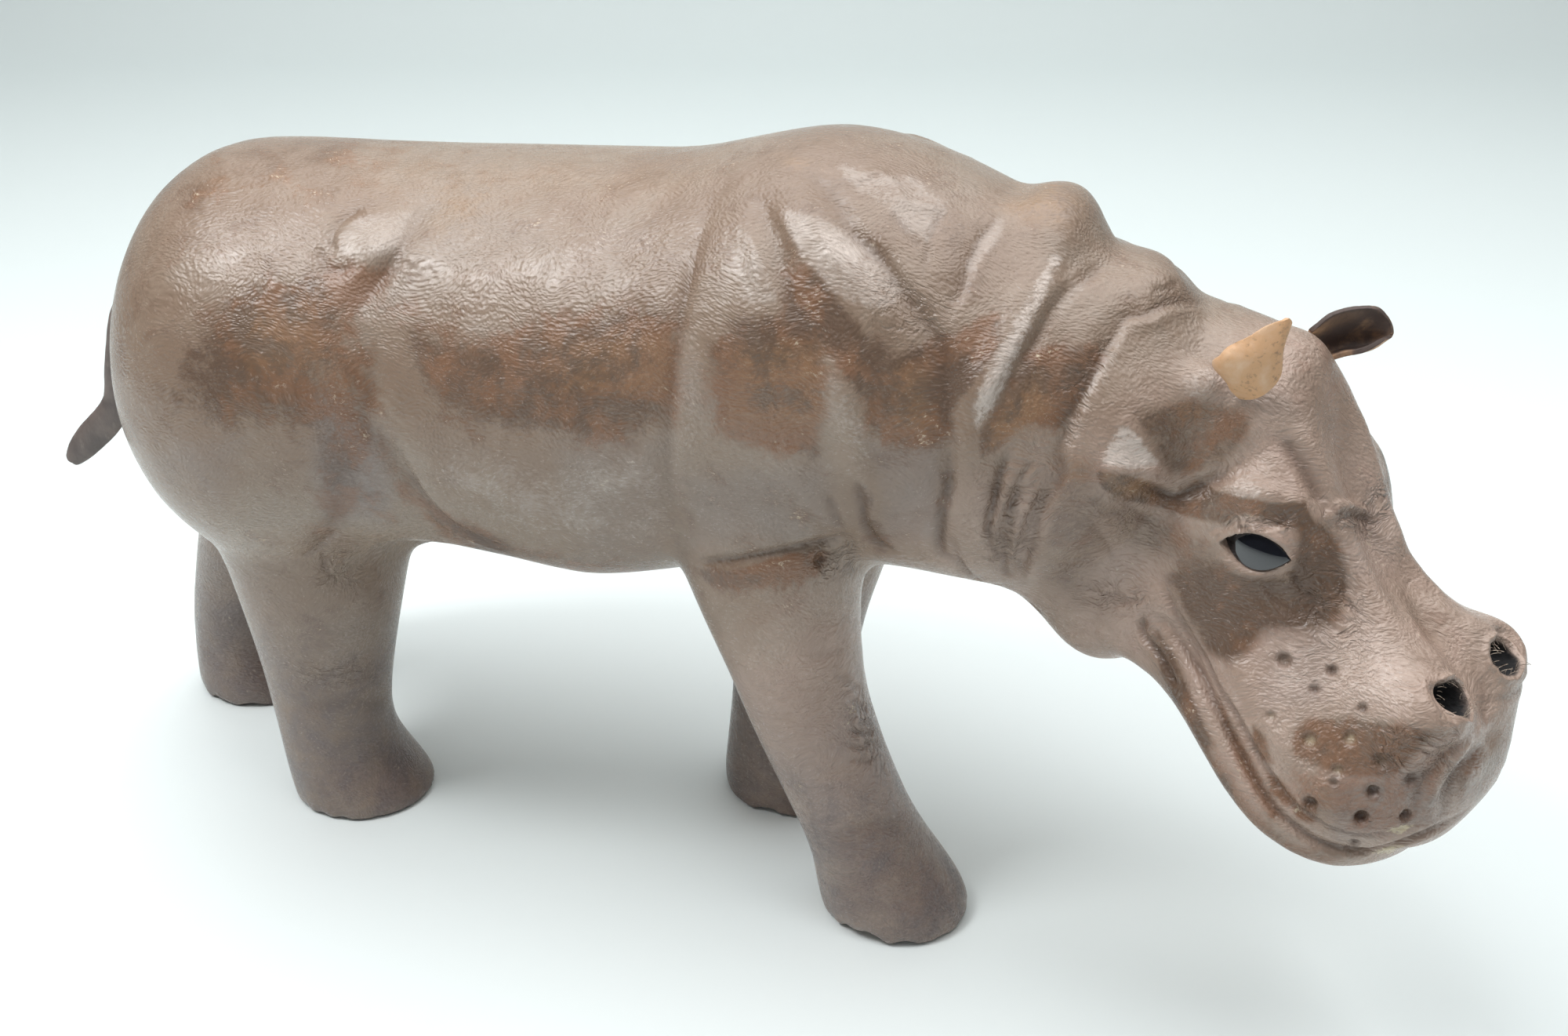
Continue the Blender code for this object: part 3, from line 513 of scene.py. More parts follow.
def relief(kind, offset, width, depth, lip):
    # a stroke's height at some distance across its line
    spread = np.abs(offset) / width
    if kind == "ridge":
        return depth * np.exp(-spread ** 2)
    look = creaseProfile if kind == "crease" else foldProfile
    beside = spread if kind == "crease" else offset / width
    groove = -depth * np.exp(-spread ** look["sharp"])
    return groove + lip * np.exp(-((beside - look["lipAt"]) / look["lipWide"]) ** 2)


def near(places, points, reach):
    # which places lie in the box round some points
    low, high = points.min(axis=0) - reach, points.max(axis=0) + reach
    return np.nonzero(np.all((places > low) & (places < high), axis=1))[0]


strokeEdge = {
    "reach": 4.5,            # in stroke widths
    "through": 4 * mm,       # past this the far side of a thin part is left alone
    "endDepth": 0.15,        # what is left of the depth at the ends
    "hidden": 0.8,           # strength on the hidden side
    # the dark line is painted shade in the crease
    "shade": 0.9, "fullShade": 1.2,     # width of the dark line, and depth in mm that makes it full
}


def pressStroke(places, points, shape, side, rise, shade):
    # adds one stroke's height to rise, and its painted crease shade to shade
    kind, width, depthMm, lip, taperShare = shape
    width = width * mm
    points, outward = onHide(points)
    along = np.gradient(points, axis=0)
    along /= np.linalg.norm(along, axis=1)[:, None] + 1e-12
    across = np.cross(outward, along) * side
    chosen = near(places, points, strokeEdge["reach"] * width)
    if len(chosen) == 0:
        return
    spot = places[chosen]
    gap = (spot ** 2).sum(1)[:, None] + (points ** 2).sum(1)[None, :] - 2 * spot @ points.T
    nearest = gap.argmin(axis=1)
    away = spot - points[nearest]
    offset = (away * across[nearest]).sum(axis=1)
    beyond = (away * along[nearest]).sum(axis=1)
    depth = (away * outward[nearest]).sum(axis=1)
    share = nearest / max(len(points) - 1, 1)
    taper = np.clip(np.minimum(share, 1 - share) / taperShare, 0.0, 1.0)
    low = strokeEdge["endDepth"]
    taper = taper * taper * (3 - 2 * taper) * (1 - low) + low
    fade = taper * np.exp(-(beyond / width) ** 2) * np.exp(-(depth / strokeEdge["through"]) ** 4)
    strength = 1.0 if side > 0 else strokeEdge["hidden"]
    rise[chosen] += relief(kind, offset, width, depthMm * mm, lip * mm) * fade * strength
    # painted shade along creases and folds
    if kind != "ridge":
        full = min(depthMm / strokeEdge["fullShade"], 1.0)
        dark = np.exp(-(offset / (strokeEdge["shade"] * width)) ** 2) * fade * full
        shade[chosen] = np.maximum(shade[chosen], dark)


def around(places, point, radius, reach):
    # the points near a spot, and how far off they are in radii
    chosen = near(places, point[None, :], reach * radius)
    return chosen, np.linalg.norm(places[chosen] - point, axis=1) / radius


moundShape = {"reach": 3, "sharp": 2.6}
pitShape = {"reach": 4, "sharp": 4, "across": 0.85, "rim": 0.3, "rimAt": 1.35, "rimWide": 0.35,
            "pale": 0.6}


def pressMound(places, point, radius, height, rise):
    chosen, gap = around(places, point, radius * mm, moundShape["reach"])
    rise[chosen] += height * mm * np.exp(-gap ** moundShape["sharp"])


def pressPit(places, point, radius, depth, pale, rise, pitShade, pitLight):
    chosen, gap = around(places, point, pitShape["across"] * radius * mm, pitShape["reach"])
    rim = pitShape["rim"] * np.exp(-((gap - pitShape["rimAt"]) / pitShape["rimWide"]) ** 2)
    rise[chosen] += depth * mm * (rim - np.exp(-gap ** pitShape["sharp"]))
    # painted shade in the pit, and a painted lit floor in its middle
    pitShade[chosen] = np.maximum(pitShade[chosen], np.exp(-gap ** 2) * (1 - pale))
    pitLight[chosen] = np.maximum(pitLight[chosen], np.exp(-(gap / pitShape["pale"]) ** 2) * pale)


def bothSides(points, half):
    # the drawn side, and where the piece has a like half, the hidden side
    yield 1, points
    if half is not None:
        yield -1, mirrored(points, half)


# the hide: strokes, eye slits, nostrils and wrinkles pressed into the base

eyeCut = {
    "length": 15.6, "height": 8.4, "depth": 3.3, "glassDepth": 3.4, "refine": 11.0,
    "wall": 0.4,                                     # how steeply the slit drops
    "lid": 0.8, "lidReach": 2.8,
    "rim": 0.22, "rimAt": 0.3, "rimWide": 0.5,
    "fold": 0.4, "foldAt": 3.0, "foldWide": 0.6, "foldFrom": -1.0,
    "nearOut": 7.0, "nearAcross": 16.0,              # past these the hide is left alone
}
nostrilCut = {
    "pixel": (1845, 895), "radius": 4.3, "depths": (6.5, 3.0), "ragged": 0.04, "refine": 7.0,
    "ring": (6.0, 9.0),                              # where the hide round the hole is measured
    "lip": 0.75, "lipAt": 1.25, "lipWide": 0.16,     # place and width as shares of the radius
    "holeShadeTo": 1.08, "holeShadeFade": 0.12,
    "nearOut": 9.0,
}


def fittingAxes(name):
    # centre and the long, middle and short axes of a small CAD node
    places = coords(nodes[name].data)
    middle = (places.min(axis=0) + places.max(axis=0)) / 2
    values, vectors = np.linalg.eigh(np.cov((places - places.mean(axis=0)).T))
    return middle, vectors[:, 2], vectors[:, 1], vectors[:, 0]


def eyeFrame(name):
    # the slit's middle on the hide, its long axis, its height axis and the way it looks
    middle, long, tall, out = fittingAxes(name)
    forward, left, up = (np.array(axis) for axis in headAxes())
    out = out * np.sign(out @ (middle - np.array(head["middle"])))
    long = long * np.sign(long @ forward)
    tall = tall * np.sign(tall @ up)
    places = coords(nodes[name].data)
    low = ((places - middle) @ out).min()
    rim = middle + out * (low + eyeCut["glassDepth"] * mm)
    return rim, long, tall, out


def pressEye(places, name):
    rim, long, tall, out = eyeFrame(name)
    away = places - rim
    x, y, z = away @ long, away @ tall, away @ out
    half = eyeCut["length"] * mm / 2
    edge = np.abs(y) - eyeCut["height"] * mm / 2 * (1 - (x / half) ** 2)
    edge = np.where(np.abs(x) > half, np.hypot(np.abs(x) - half, y), edge)
    cut = {name: value * mm for name, value in eyeCut.items()}
    close = (np.abs(z) < cut["nearOut"]) & (np.hypot(x, y) < cut["nearAcross"])
    inside = np.clip(-edge / cut["wall"] + 0.4, 0.0, 1.0)
    swell = np.clip(1 - (x / half) ** 2, 0.0, 1.0)
    lid = cut["lid"] * swell * np.exp(-(edge / cut["lidReach"]) ** 2)
    lid = lid + cut["rim"] * np.exp(-((edge - cut["rimAt"]) / cut["rimWide"]) ** 2)
    fold = -cut["fold"] * np.exp(-((edge - cut["foldAt"]) / cut["foldWide"]) ** 2)
    fold = fold * (y > cut["foldFrom"])
    drop = -inside * (z + cut["depth"])
    shift = np.where(edge < 0, drop, 0.0) + (lid + fold) * (edge > -cut["wall"])
    return places + np.where(close, shift, 0.0)[:, None] * out


def nostrilFrame(places, normals, spot):
    # the hole's middle at the level of its rim, and two directions across it
    gap = np.linalg.norm(places - spot, axis=1)
    inner, outer = (size * mm for size in nostrilCut["ring"])
    ring = (gap > inner) & (gap < outer)
    out = normals[ring].mean(axis=0)
    out /= np.linalg.norm(out)
    level = ((places[gap < inner] - spot) @ out).max()
    across = np.cross(out, np.array(headAxes()[0]))
    across /= np.linalg.norm(across)
    return spot + out * level, across, np.cross(out, across), out


def pressNostril(places, frameAxes, deep):
    # a torn-edged hole; also returns how far inside it each point lies
    rim, across, over, out = frameAxes
    away = places - rim
    x, y, z = away @ across, away @ over, away @ out
    turn = np.arctan2(y, x)
    ragged = 1 + nostrilCut["ragged"] * (np.sin(3 * turn + 1.0) + 0.6 * np.sin(7 * turn)
                                         + 0.4 * np.sin(12 * turn + 2.0))
    share = np.hypot(x, y) / (nostrilCut["radius"] * mm * ragged)
    close = (np.abs(z) < nostrilCut["nearOut"] * mm) & (share < 3)
    drop = -deep * mm * np.clip(1.0 - share ** 4, 0.0, 1.0)
    beside = (share - nostrilCut["lipAt"]) / nostrilCut["lipWide"]
    lip = nostrilCut["lip"] * mm * np.exp(-beside ** 2)
    moved = places + np.where(close, drop + lip, 0.0)[:, None] * out
    # painted shade: black inside the hole
    holeShade = np.clip((nostrilCut["holeShadeTo"] - share) / nostrilCut["holeShadeFade"], 0.0, 1.0)
    return moved, np.where(close, holeShade, 0.0)


def refine(mesh, spots, radius):
    # splits the faces round some spots
    form = opened(mesh)
    edges = [edge for edge in form.edges
             if any((edge.verts[0].co - spot).length < radius for spot in spots)]
    bmesh.ops.subdivide_edges(form, edges=edges, cuts=1, use_grid_fill=True)
    written(form, mesh)


def pressSkin(places):
    # every stroke, mound and whisker pit, along the hide's normals
    rise, shade = np.zeros(len(places)), np.zeros(len(places))
    for kind, half, width, depth, lip, taper, *pixels in strokes.values():
        for side, line in bothSides(dropPixels(pixels), half):
            pressStroke(places, line, (kind, width, depth, lip, taper), side, rise, shade)
    for pixel, radius, height, half in mounds.values():
        point = dropPixels([pixel])
        for side, spot in bothSides(point, half):
            pressMound(places, onHide(spot)[0][0], radius, height, rise)
    pitShade, pitLight = np.zeros(len(places)), np.zeros(len(places))
    for pixel, radius, depth, pale in whiskerPits:
        point = dropPixels([pixel])
        for side, spot in bothSides(point, "head"):
            pressPit(places, onHide(spot)[0][0], radius, depth, pale, rise, pitShade, pitLight)
    storeTone(hide.data, "paintedCreaseShade", shade)
    storeTone(hide.data, "paintedPitShade", pitShade)
    storeTone(hide.data, "paintedPitLight", pitLight)
    return places + pointNormals(hide.data) * rise[:, None]


def makeHide():
    eyeSpots = [Vector(eyeFrame(name)[0]) for name in eyeNames]
    refine(hide.data, eyeSpots, eyeCut["refine"] * mm)
    nostril = dropPixels([nostrilCut["pixel"]])[0]
    nostrils = np.array([nostril, mirrored(nostril, "head")])
    for _ in range(2):
        refine(hide.data, [Vector(place) for place in nostrils], nostrilCut["refine"] * mm)
    places = pressSkin(coords(hide.data))
    for name in eyeNames:
        places = pressEye(places, name)
    holeShade, frames = np.zeros(len(places)), []
    for spot, deep in zip(nostrils, nostrilCut["depths"]):
        frames.append(nostrilFrame(places, pointNormals(hide.data), spot))
        places, inside = pressNostril(places, frames[-1], deep)
        holeShade = np.maximum(holeShade, inside)
    setCoords(hide.data, places)
    storeTone(hide.data, "holeShade", holeShade)
    return frames


nostrilFrames = makeHide()
modified(hide, "TRIANGULATE")
count = len(hide.data.polygons)
if count > hideForm["triangles"]:
    modified(hide, "DECIMATE", ratio=hideForm["triangles"] / count)
smoothShaded(hide)
print("hide sculpted:", len(hide.data.polygons), "faces from", count)

# paint: soft-edged outlines in the photograph's pixels, the same on the hidden side
# Each has the softness of its edge in pixels, its strength, then its corners.

paint = {
    # dusk: darker patches, partly the hide's own darker stain, partly painted shade along creases,
    # under the brow and round the mouth, and painted reflection of the dark room on the mid flank
    "dusk": (
        (30, 0.85, (225, 470), (245, 440), (285, 390), (310, 365), (345, 352), (420, 347),
         (490, 350), (470, 385), (452, 400), (450, 440), (468, 470), (470, 510), (440, 500),
         (420, 475), (400, 505), (370, 535), (300, 548), (255, 540), (230, 520)),
        (8, 0.45, (408, 350), (440, 342), (492, 346), (470, 380), (450, 402), (425, 390)),
        (26, 1.0, (515, 400), (560, 425), (620, 440), (660, 415), (720, 402), (760, 400),
         (862, 392), (858, 540), (800, 550), (760, 560), (700, 552), (620, 542), (560, 512),
         (525, 470)),
        (9, 0.5, (610, 425), (645, 430), (640, 520), (615, 510)),
        (8, 0.5, (745, 540), (790, 535), (780, 562), (740, 560)),
        (8, 0.55, (490, 560), (510, 590), (540, 630), (580, 665), (650, 690), (640, 702),
         (570, 682), (520, 645), (485, 595)),
        (16, 0.5, (412, 590), (450, 600), (445, 650), (400, 690), (395, 665)),
        (30, 0.32, (190, 200), (300, 165), (480, 155), (530, 200), (430, 260), (300, 310),
         (220, 340)),
        (20, 0.55, (370, 500), (450, 520), (482, 590), (502, 660), (440, 645), (400, 580)),
        (8, 0.6, (540, 640), (640, 690), (760, 712), (860, 722), (860, 738), (740, 736), (620, 714),
         (560, 682)),
        (18, 1.05, (905, 450), (925, 425), (938, 402), (1000, 405), (1000, 348), (1040, 346),
         (1062, 370), (1078, 400), (1088, 440), (1097, 490), (1062, 455), (1048, 445), (1052, 500),
         (1048, 590), (1020, 582), (980, 574), (940, 570), (915, 545)),
        (15, 1.1, (1070, 405), (1090, 412), (1110, 432), (1150, 447), (1195, 427), (1206, 455),
         (1215, 500), (1210, 545), (1190, 562), (1150, 566), (1115, 555), (1100, 510), (1085, 460)),
        (8, 1.0, (1205, 428), (1235, 422), (1260, 402), (1282, 405), (1277, 430), (1255, 462),
         (1225, 512), (1210, 520), (1205, 470)),
        (7, 1.0, (1310, 452), (1350, 442), (1390, 442), (1412, 455), (1395, 490), (1375, 520),
         (1350, 548), (1320, 536), (1290, 546), (1270, 577), (1250, 582), (1252, 550), (1270, 525),
         (1290, 490)),
        (6, 0.7, (1092, 615), (1104, 620), (1118, 660), (1142, 700), (1120, 702), (1100, 680)),
        (5, 0.6, (1200, 600), (1214, 600), (1212, 650), (1205, 700), (1195, 690)),
        (9, 0.3, (1262, 600), (1290, 580), (1300, 640), (1290, 740), (1262, 720)),
        (4, 0.95, (880, 722), (930, 729), (970, 720), (1010, 706), (1047, 700), (1062, 706),
         (1040, 736), (1000, 750), (950, 754), (905, 746)),
        (8, 0.8, (1445, 524), (1480, 518), (1520, 506), (1555, 516), (1600, 522), (1590, 560),
         (1560, 590), (1530, 605), (1510, 612), (1490, 602), (1470, 572), (1455, 547)),
        (5, 1.3, (1402, 603), (1440, 607), (1480, 622), (1500, 630), (1530, 612), (1550, 626),
         (1580, 634), (1620, 642), (1665, 640), (1672, 668), (1640, 672), (1590, 652), (1560, 667),
         (1530, 662), (1500, 652), (1470, 642), (1435, 637), (1408, 622)),
        (11, 1.0, (1488, 735), (1520, 720), (1560, 722), (1600, 736), (1640, 736), (1655, 700),
         (1658, 662), (1690, 668), (1716, 700), (1722, 750), (1706, 792), (1670, 806), (1640, 800),
         (1612, 802), (1590, 832), (1565, 844), (1540, 830), (1518, 795)),
        (12, 0.6, (1400, 640), (1470, 650), (1550, 690), (1560, 720), (1500, 720), (1430, 690)),
        (14, 0.6, (1640, 975), (1700, 988), (1780, 990), (1850, 962), (1862, 1010), (1830, 1050),
         (1740, 1066), (1660, 1044)),
        (7, 1.0, (1655, 926), (1665, 918), (1720, 914), (1760, 921), (1800, 925), (1832, 935),
         (1805, 960), (1780, 987), (1720, 987), (1680, 976), (1650, 966), (1646, 940)),
        (4, 1.0, (1598, 924), (1613, 938), (1624, 975), (1610, 968), (1598, 942)),
        (4, 1.0, (1616, 985), (1632, 992), (1652, 1020), (1640, 1027), (1622, 1010)),
        (4, 0.9, (1650, 1026), (1678, 1032), (1672, 1048), (1655, 1042)),
        (8, 0.9, (1478, 806), (1500, 838), (1520, 895), (1548, 950), (1530, 950), (1505, 905),
         (1488, 855)),
        (7, 0.8, (1555, 890), (1575, 925), (1605, 985), (1640, 1045), (1620, 1045), (1585, 985),
         (1560, 930)),
        (10, 0.85, (1462, 792), (1500, 860), (1540, 950), (1600, 1036), (1660, 1080), (1720, 1092),
         (1700, 1104), (1640, 1098), (1570, 1035), (1520, 955), (1478, 860)),
        (16, 0.55, (1345, 570), (1400, 590), (1410, 700), (1370, 760), (1320, 740), (1330, 650)),
        (9, 0.55, (1848, 960), (1900, 956), (1926, 975), (1905, 1012), (1862, 1025)),
        (8, 0.8, (1900, 832), (1922, 828), (1935, 852), (1915, 866)),
        (12, 0.75, (1775, 690), (1850, 780), (1860, 820), (1820, 810), (1790, 760)),
        (16, 0.35, (1645, 430), (1690, 470), (1705, 550), (1680, 560), (1650, 500)),
        (24, 0.35, (405, 960), (520, 950), (550, 1010), (470, 1050), (385, 1020)),
        (22, 0.6, (1060, 1060), (1170, 1060), (1235, 1130), (1180, 1200), (1060, 1160)),
    ),
    # painted highlight: pale where the gloss reflects the softboxes and the bright room, and on the
    # lower flank painted reflection of the pale floor
    "paintedHighlight": (
        (5, 1.0, (437, 300), (450, 278), (490, 270), (530, 270), (505, 320), (470, 334), (436, 325)),
        (16, 0.35, (690, 330), (720, 292), (830, 270), (862, 290), (850, 340), (800, 385),
         (760, 372), (705, 355)),
        (4, 0.9, (938, 280), (958, 300), (985, 360), (995, 392), (945, 388), (937, 340)),
        (5, 1.0, (994, 262), (1050, 280), (1112, 310), (1152, 370), (1142, 392), (1100, 396),
         (1060, 372), (1030, 332), (1005, 296)),
        (7, 0.9, (1065, 208), (1110, 218), (1162, 224), (1213, 262), (1185, 312), (1160, 300),
         (1130, 262), (1090, 247)),
        (4, 0.9, (1230, 350), (1240, 310), (1275, 275), (1288, 280), (1272, 312), (1242, 347)),
        (4, 0.9, (1342, 318), (1366, 318), (1337, 372), (1303, 442), (1275, 510), (1245, 552),
         (1237, 525), (1255, 480), (1290, 410)),
        (4, 0.8, (1350, 388), (1385, 350), (1394, 356), (1372, 387), (1350, 402)),
        (8, 0.55, (1052, 470), (1092, 495), (1110, 560), (1106, 625), (1072, 602), (1052, 540)),
        (9, 0.5, (862, 420), (900, 420), (895, 560), (862, 600)),
        (4, 1.0, (1425, 538), (1447, 545), (1482, 592), (1450, 602), (1405, 590), (1412, 560)),
        (7, 0.7, (1502, 490), (1515, 470), (1545, 468), (1562, 485), (1545, 505), (1515, 508)),
        (3, 1.0, (1560, 620), (1590, 604), (1614, 625), (1602, 638), (1570, 631)),
        (14, 0.6, (1620, 815), (1700, 800), (1760, 815), (1817, 858), (1810, 905), (1740, 906),
         (1690, 900), (1622, 892), (1610, 850)),
        (12, 0.6, (1700, 670), (1757, 690), (1762, 760), (1802, 842), (1740, 822), (1712, 760)),
        (5, 0.8, (1848, 960), (1882, 930), (1868, 990), (1852, 1062), (1828, 1052), (1830, 1000)),
        (5, 0.7, (1440, 412), (1412, 455), (1393, 500), (1358, 562), (1375, 562), (1402, 510),
         (1434, 460)),
        (5, 0.7, (1860, 790), (1905, 785), (1900, 812), (1865, 830)),
        (4, 0.7, (1550, 840), (1560, 845), (1588, 900), (1578, 905)),
        (24, 0.65, (540, 575), (700, 590), (845, 575), (850, 700), (700, 690), (600, 655)),
    ),
    # grey: a greyer tone on the lower flanks, the lower neck and the lower muzzle, partly the hide's
    # own greyish tone and partly painted reflection of the pale floor
    "grey": (
        (16, 0.8, (400, 500), (450, 520), (482, 560), (500, 625), (490, 660), (420, 660), (398, 600)),
        (12, 0.7, (1110, 570), (1200, 570), (1198, 690), (1130, 690)),
        (18, 0.5, (870, 610), (1050, 590), (1080, 680), (880, 700)),
        (20, 0.5, (240, 555), (310, 560), (280, 640), (190, 590)),
        (20, 0.4, (700, 560), (850, 560), (850, 720), (740, 710)),
        (10, 0.5, (1600, 780), (1700, 800), (1690, 900), (1610, 900)),
        (8, 0.6, (1700, 985), (1830, 975), (1850, 1050), (1700, 1075)),
    ),
    "warm": (
        (30, 0.35, (240, 210), (500, 190), (900, 200), (880, 250), (560, 270), (280, 280)),
        (12, 0.9, (1270, 262), (1340, 232), (1385, 262), (1360, 290), (1300, 280)),
        (6, 1.0, (990, 198), (1050, 208), (1060, 225), (1010, 214)),
        (14, 0.5, (945, 440), (1045, 440), (1045, 540), (930, 540)),
        (12, 0.45, (1140, 460), (1180, 470), (1180, 550), (1140, 540)),
        (8, 0.6, (1290, 500), (1325, 470), (1340, 520), (1262, 575), (1262, 545)),
        (14, 0.5, (310, 400), (400, 390), (410, 470), (320, 470)),
        (10, 0.4, (700, 430), (860, 430), (850, 500), (720, 500)),
        (8, 0.9, (1410, 605), (1465, 615), (1470, 632), (1420, 632)),
        (8, 0.9, (1505, 515), (1550, 520), (1540, 545), (1500, 540)),
        (6, 0.8, (1895, 820), (1925, 820), (1925, 850), (1900, 850)),
        (16, 0.6, (560, 250), (620, 250), (600, 300), (560, 300)),
        (8, 0.5, (1360, 580), (1385, 580), (1385, 620), (1360, 615)),
    ),
    # painted sheen: bright painted highlights on the neck band, the facet, the hump, the temple, the
    # brow and the muzzle
    "paintedSheen": (
        (7, 0.8, (1342, 322), (1364, 320), (1335, 372), (1301, 442), (1273, 508), (1247, 545),
         (1242, 525), (1260, 478), (1294, 408)),
        (5, 1.0, (1428, 542), (1447, 548), (1478, 590), (1450, 600), (1408, 590), (1414, 562)),
        (9, 0.45, (1010, 280), (1050, 285), (1105, 315), (1140, 365), (1130, 380), (1060, 350)),
        (8, 0.5, (1505, 490), (1518, 474), (1543, 472), (1556, 486), (1543, 502), (1517, 505)),
        (5, 0.6, (1558, 622), (1588, 604), (1616, 624), (1604, 640), (1572, 633)),
        (10, 0.3, (1640, 815), (1700, 806), (1755, 822), (1805, 858), (1800, 895), (1740, 895),
         (1690, 890), (1630, 885)),
    ),
    "worn": (
        (2, 1.0, (1768, 1060), (1800, 1048), (1812, 1050), (1785, 1064)),
        (2, 0.9, (1735, 1088), (1775, 1078), (1800, 1076), (1770, 1090)),
        (2, 1.0, (1570, 658), (1584, 655), (1602, 657), (1590, 661)),
        (2, 0.8, (1860, 1048), (1890, 1030), (1892, 1036), (1868, 1056)),
    ),
    # where fine wrinkles are bumped in; their grooves also get painted shade
    "wrinkled": (
        (16, 0.3, (1250, 590), (1320, 560), (1345, 600), (1305, 740), (1255, 720)),
        (10, 0.35, (1345, 500), (1400, 430), (1425, 440), (1360, 580)),
        (12, 0.2, (1420, 375), (1520, 368), (1520, 400), (1420, 400)),
        (8, 0.6, (1560, 660), (1650, 655), (1650, 675), (1570, 682)),
        (8, 0.7, (1690, 640), (1775, 665), (1765, 690), (1690, 670)),
        (12, 0.5, (1080, 880), (1130, 900), (1130, 990), (1090, 960)),
        (8, 0.6, (1040, 690), (1095, 690), (1095, 730), (1040, 735)),
        (12, 0.4, (380, 840), (490, 840), (490, 880), (380, 880)),
        (12, 0.4, (400, 690), (460, 690), (460, 760), (400, 750)),
        (14, 0.3, (1100, 350), (1230, 370), (1215, 440), (1130, 430)),
        (10, 0.4, (1380, 745), (1460, 745), (1460, 775), (1380, 775)),
        (14, 0.3, (1640, 730), (1740, 730), (1750, 830), (1660, 830)),
        (12, 0.5, (1750, 925), (1860, 935), (1850, 990), (1760, 980)),
    ),
}


paintSpread = 1.4       # all edges are this much softer than stated

# the legs are greyer and darker than the trunk towards the floor, partly their own colour and partly
# painted shade; the far ones get more painted shade inside, under the body; and the head is paler.
# "along" is measured on the head's own forward axis, all in metres.
legTone = {"top": 0.085, "fade": 0.05, "headFrom": 0.085, "headFade": 0.020,
           "innerTop": 0.080, "innerFade": 0.020, "farFrom": 0.002, "farFade": 0.006}
headTone = {"neckAlong": -0.008, "paleFrom": -0.020, "paleFade": 0.018}


def outlineTone(u, v, corners, soft):
    # 1 well inside an outline, 0 well outside it
    inside, gap = np.zeros(len(u), dtype=bool), np.full(len(u), 1e6)
    for (au, av), (bu, bv) in zip(corners, corners[1:] + corners[:1]):
        du, dv = bu - au, bv - av
        along = np.clip(((u - au) * du + (v - av) * dv) / (du * du + dv * dv), 0.0, 1.0)
        gap = np.minimum(gap, np.hypot(u - au - along * du, v - av - along * dv))
        if av != bv:
            inside ^= ((av > v) != (bv > v)) & (u < au + du * (v - av) / dv)
    share = np.clip(0.5 + np.where(inside, gap, -gap) / (2 * soft), 0.0, 1.0)
    return share * share * (3 - 2 * share)


def paintTone(places, spots):
    u, v = toPixels(places)
    total = np.zeros(len(places))
    for soft, strength, *corners in spots:
        total += strength * outlineTone(u, v, corners, paintSpread * soft)
    return total


def paintHide():
    places = coords(hide.data)
    forward, left, up = (np.array(axis) for axis in headAxes())
    fromHead = places - np.array(head["middle"])
    toHead, offHead = fromHead @ forward, fromHead @ left
    behindNeck = toHead < headTone["neckAlong"]
    farSide = np.where(behindNeck, places[:, 1] - trunkMiddle(places[:, 0]), offHead) > 0
    other = np.where(behindNeck[:, None], mirrored(places, "trunk"), mirrored(places, "head"))
    seen = np.where(farSide[:, None], other, places)
    for name, spots in paint.items():
        storeTone(hide.data, name, paintTone(seen, spots))
    ahead = np.clip((places[:, 0] - legTone["headFrom"]) / legTone["headFade"], 0.0, 1.0)
    height = np.clip((legTone["top"] - places[:, 2]) / legTone["fade"], 0.0, 1.0)
    storeTone(hide.data, "legs", height * (1 - ahead))
    storeTone(hide.data, "headTone", (toHead - headTone["paleFrom"]) / headTone["paleFade"])
    # painted shade on the far legs, under the body
    inner = np.clip((legTone["innerTop"] - places[:, 2]) / legTone["innerFade"], 0.0, 1.0)
    far = np.clip((places[:, 1] - legTone["farFrom"]) / legTone["farFade"], 0, 1)
    storeTone(hide.data, "farLegShade", inner * (1 - ahead) * far)


paintHide()
print("hide painted")

# shader writing: sockets that can be added, subtracted and multiplied


class Wire:
    # one output socket of a material that is being written
    def __init__(self, finish, socket):
        self.finish, self.socket = finish, socket

    def __add__(self, other):
        return self.finish.math("ADD", self, other)

    def __radd__(self, other):
        return self.finish.math("ADD", other, self)

    def __sub__(self, other):
        return self.finish.math("SUBTRACT", self, other)

    def __rsub__(self, other):
        return self.finish.math("SUBTRACT", other, self)

    def __mul__(self, other):
        return self.finish.math("MULTIPLY", self, other)

    def __rmul__(self, other):
        return self.finish.math("MULTIPLY", other, self)


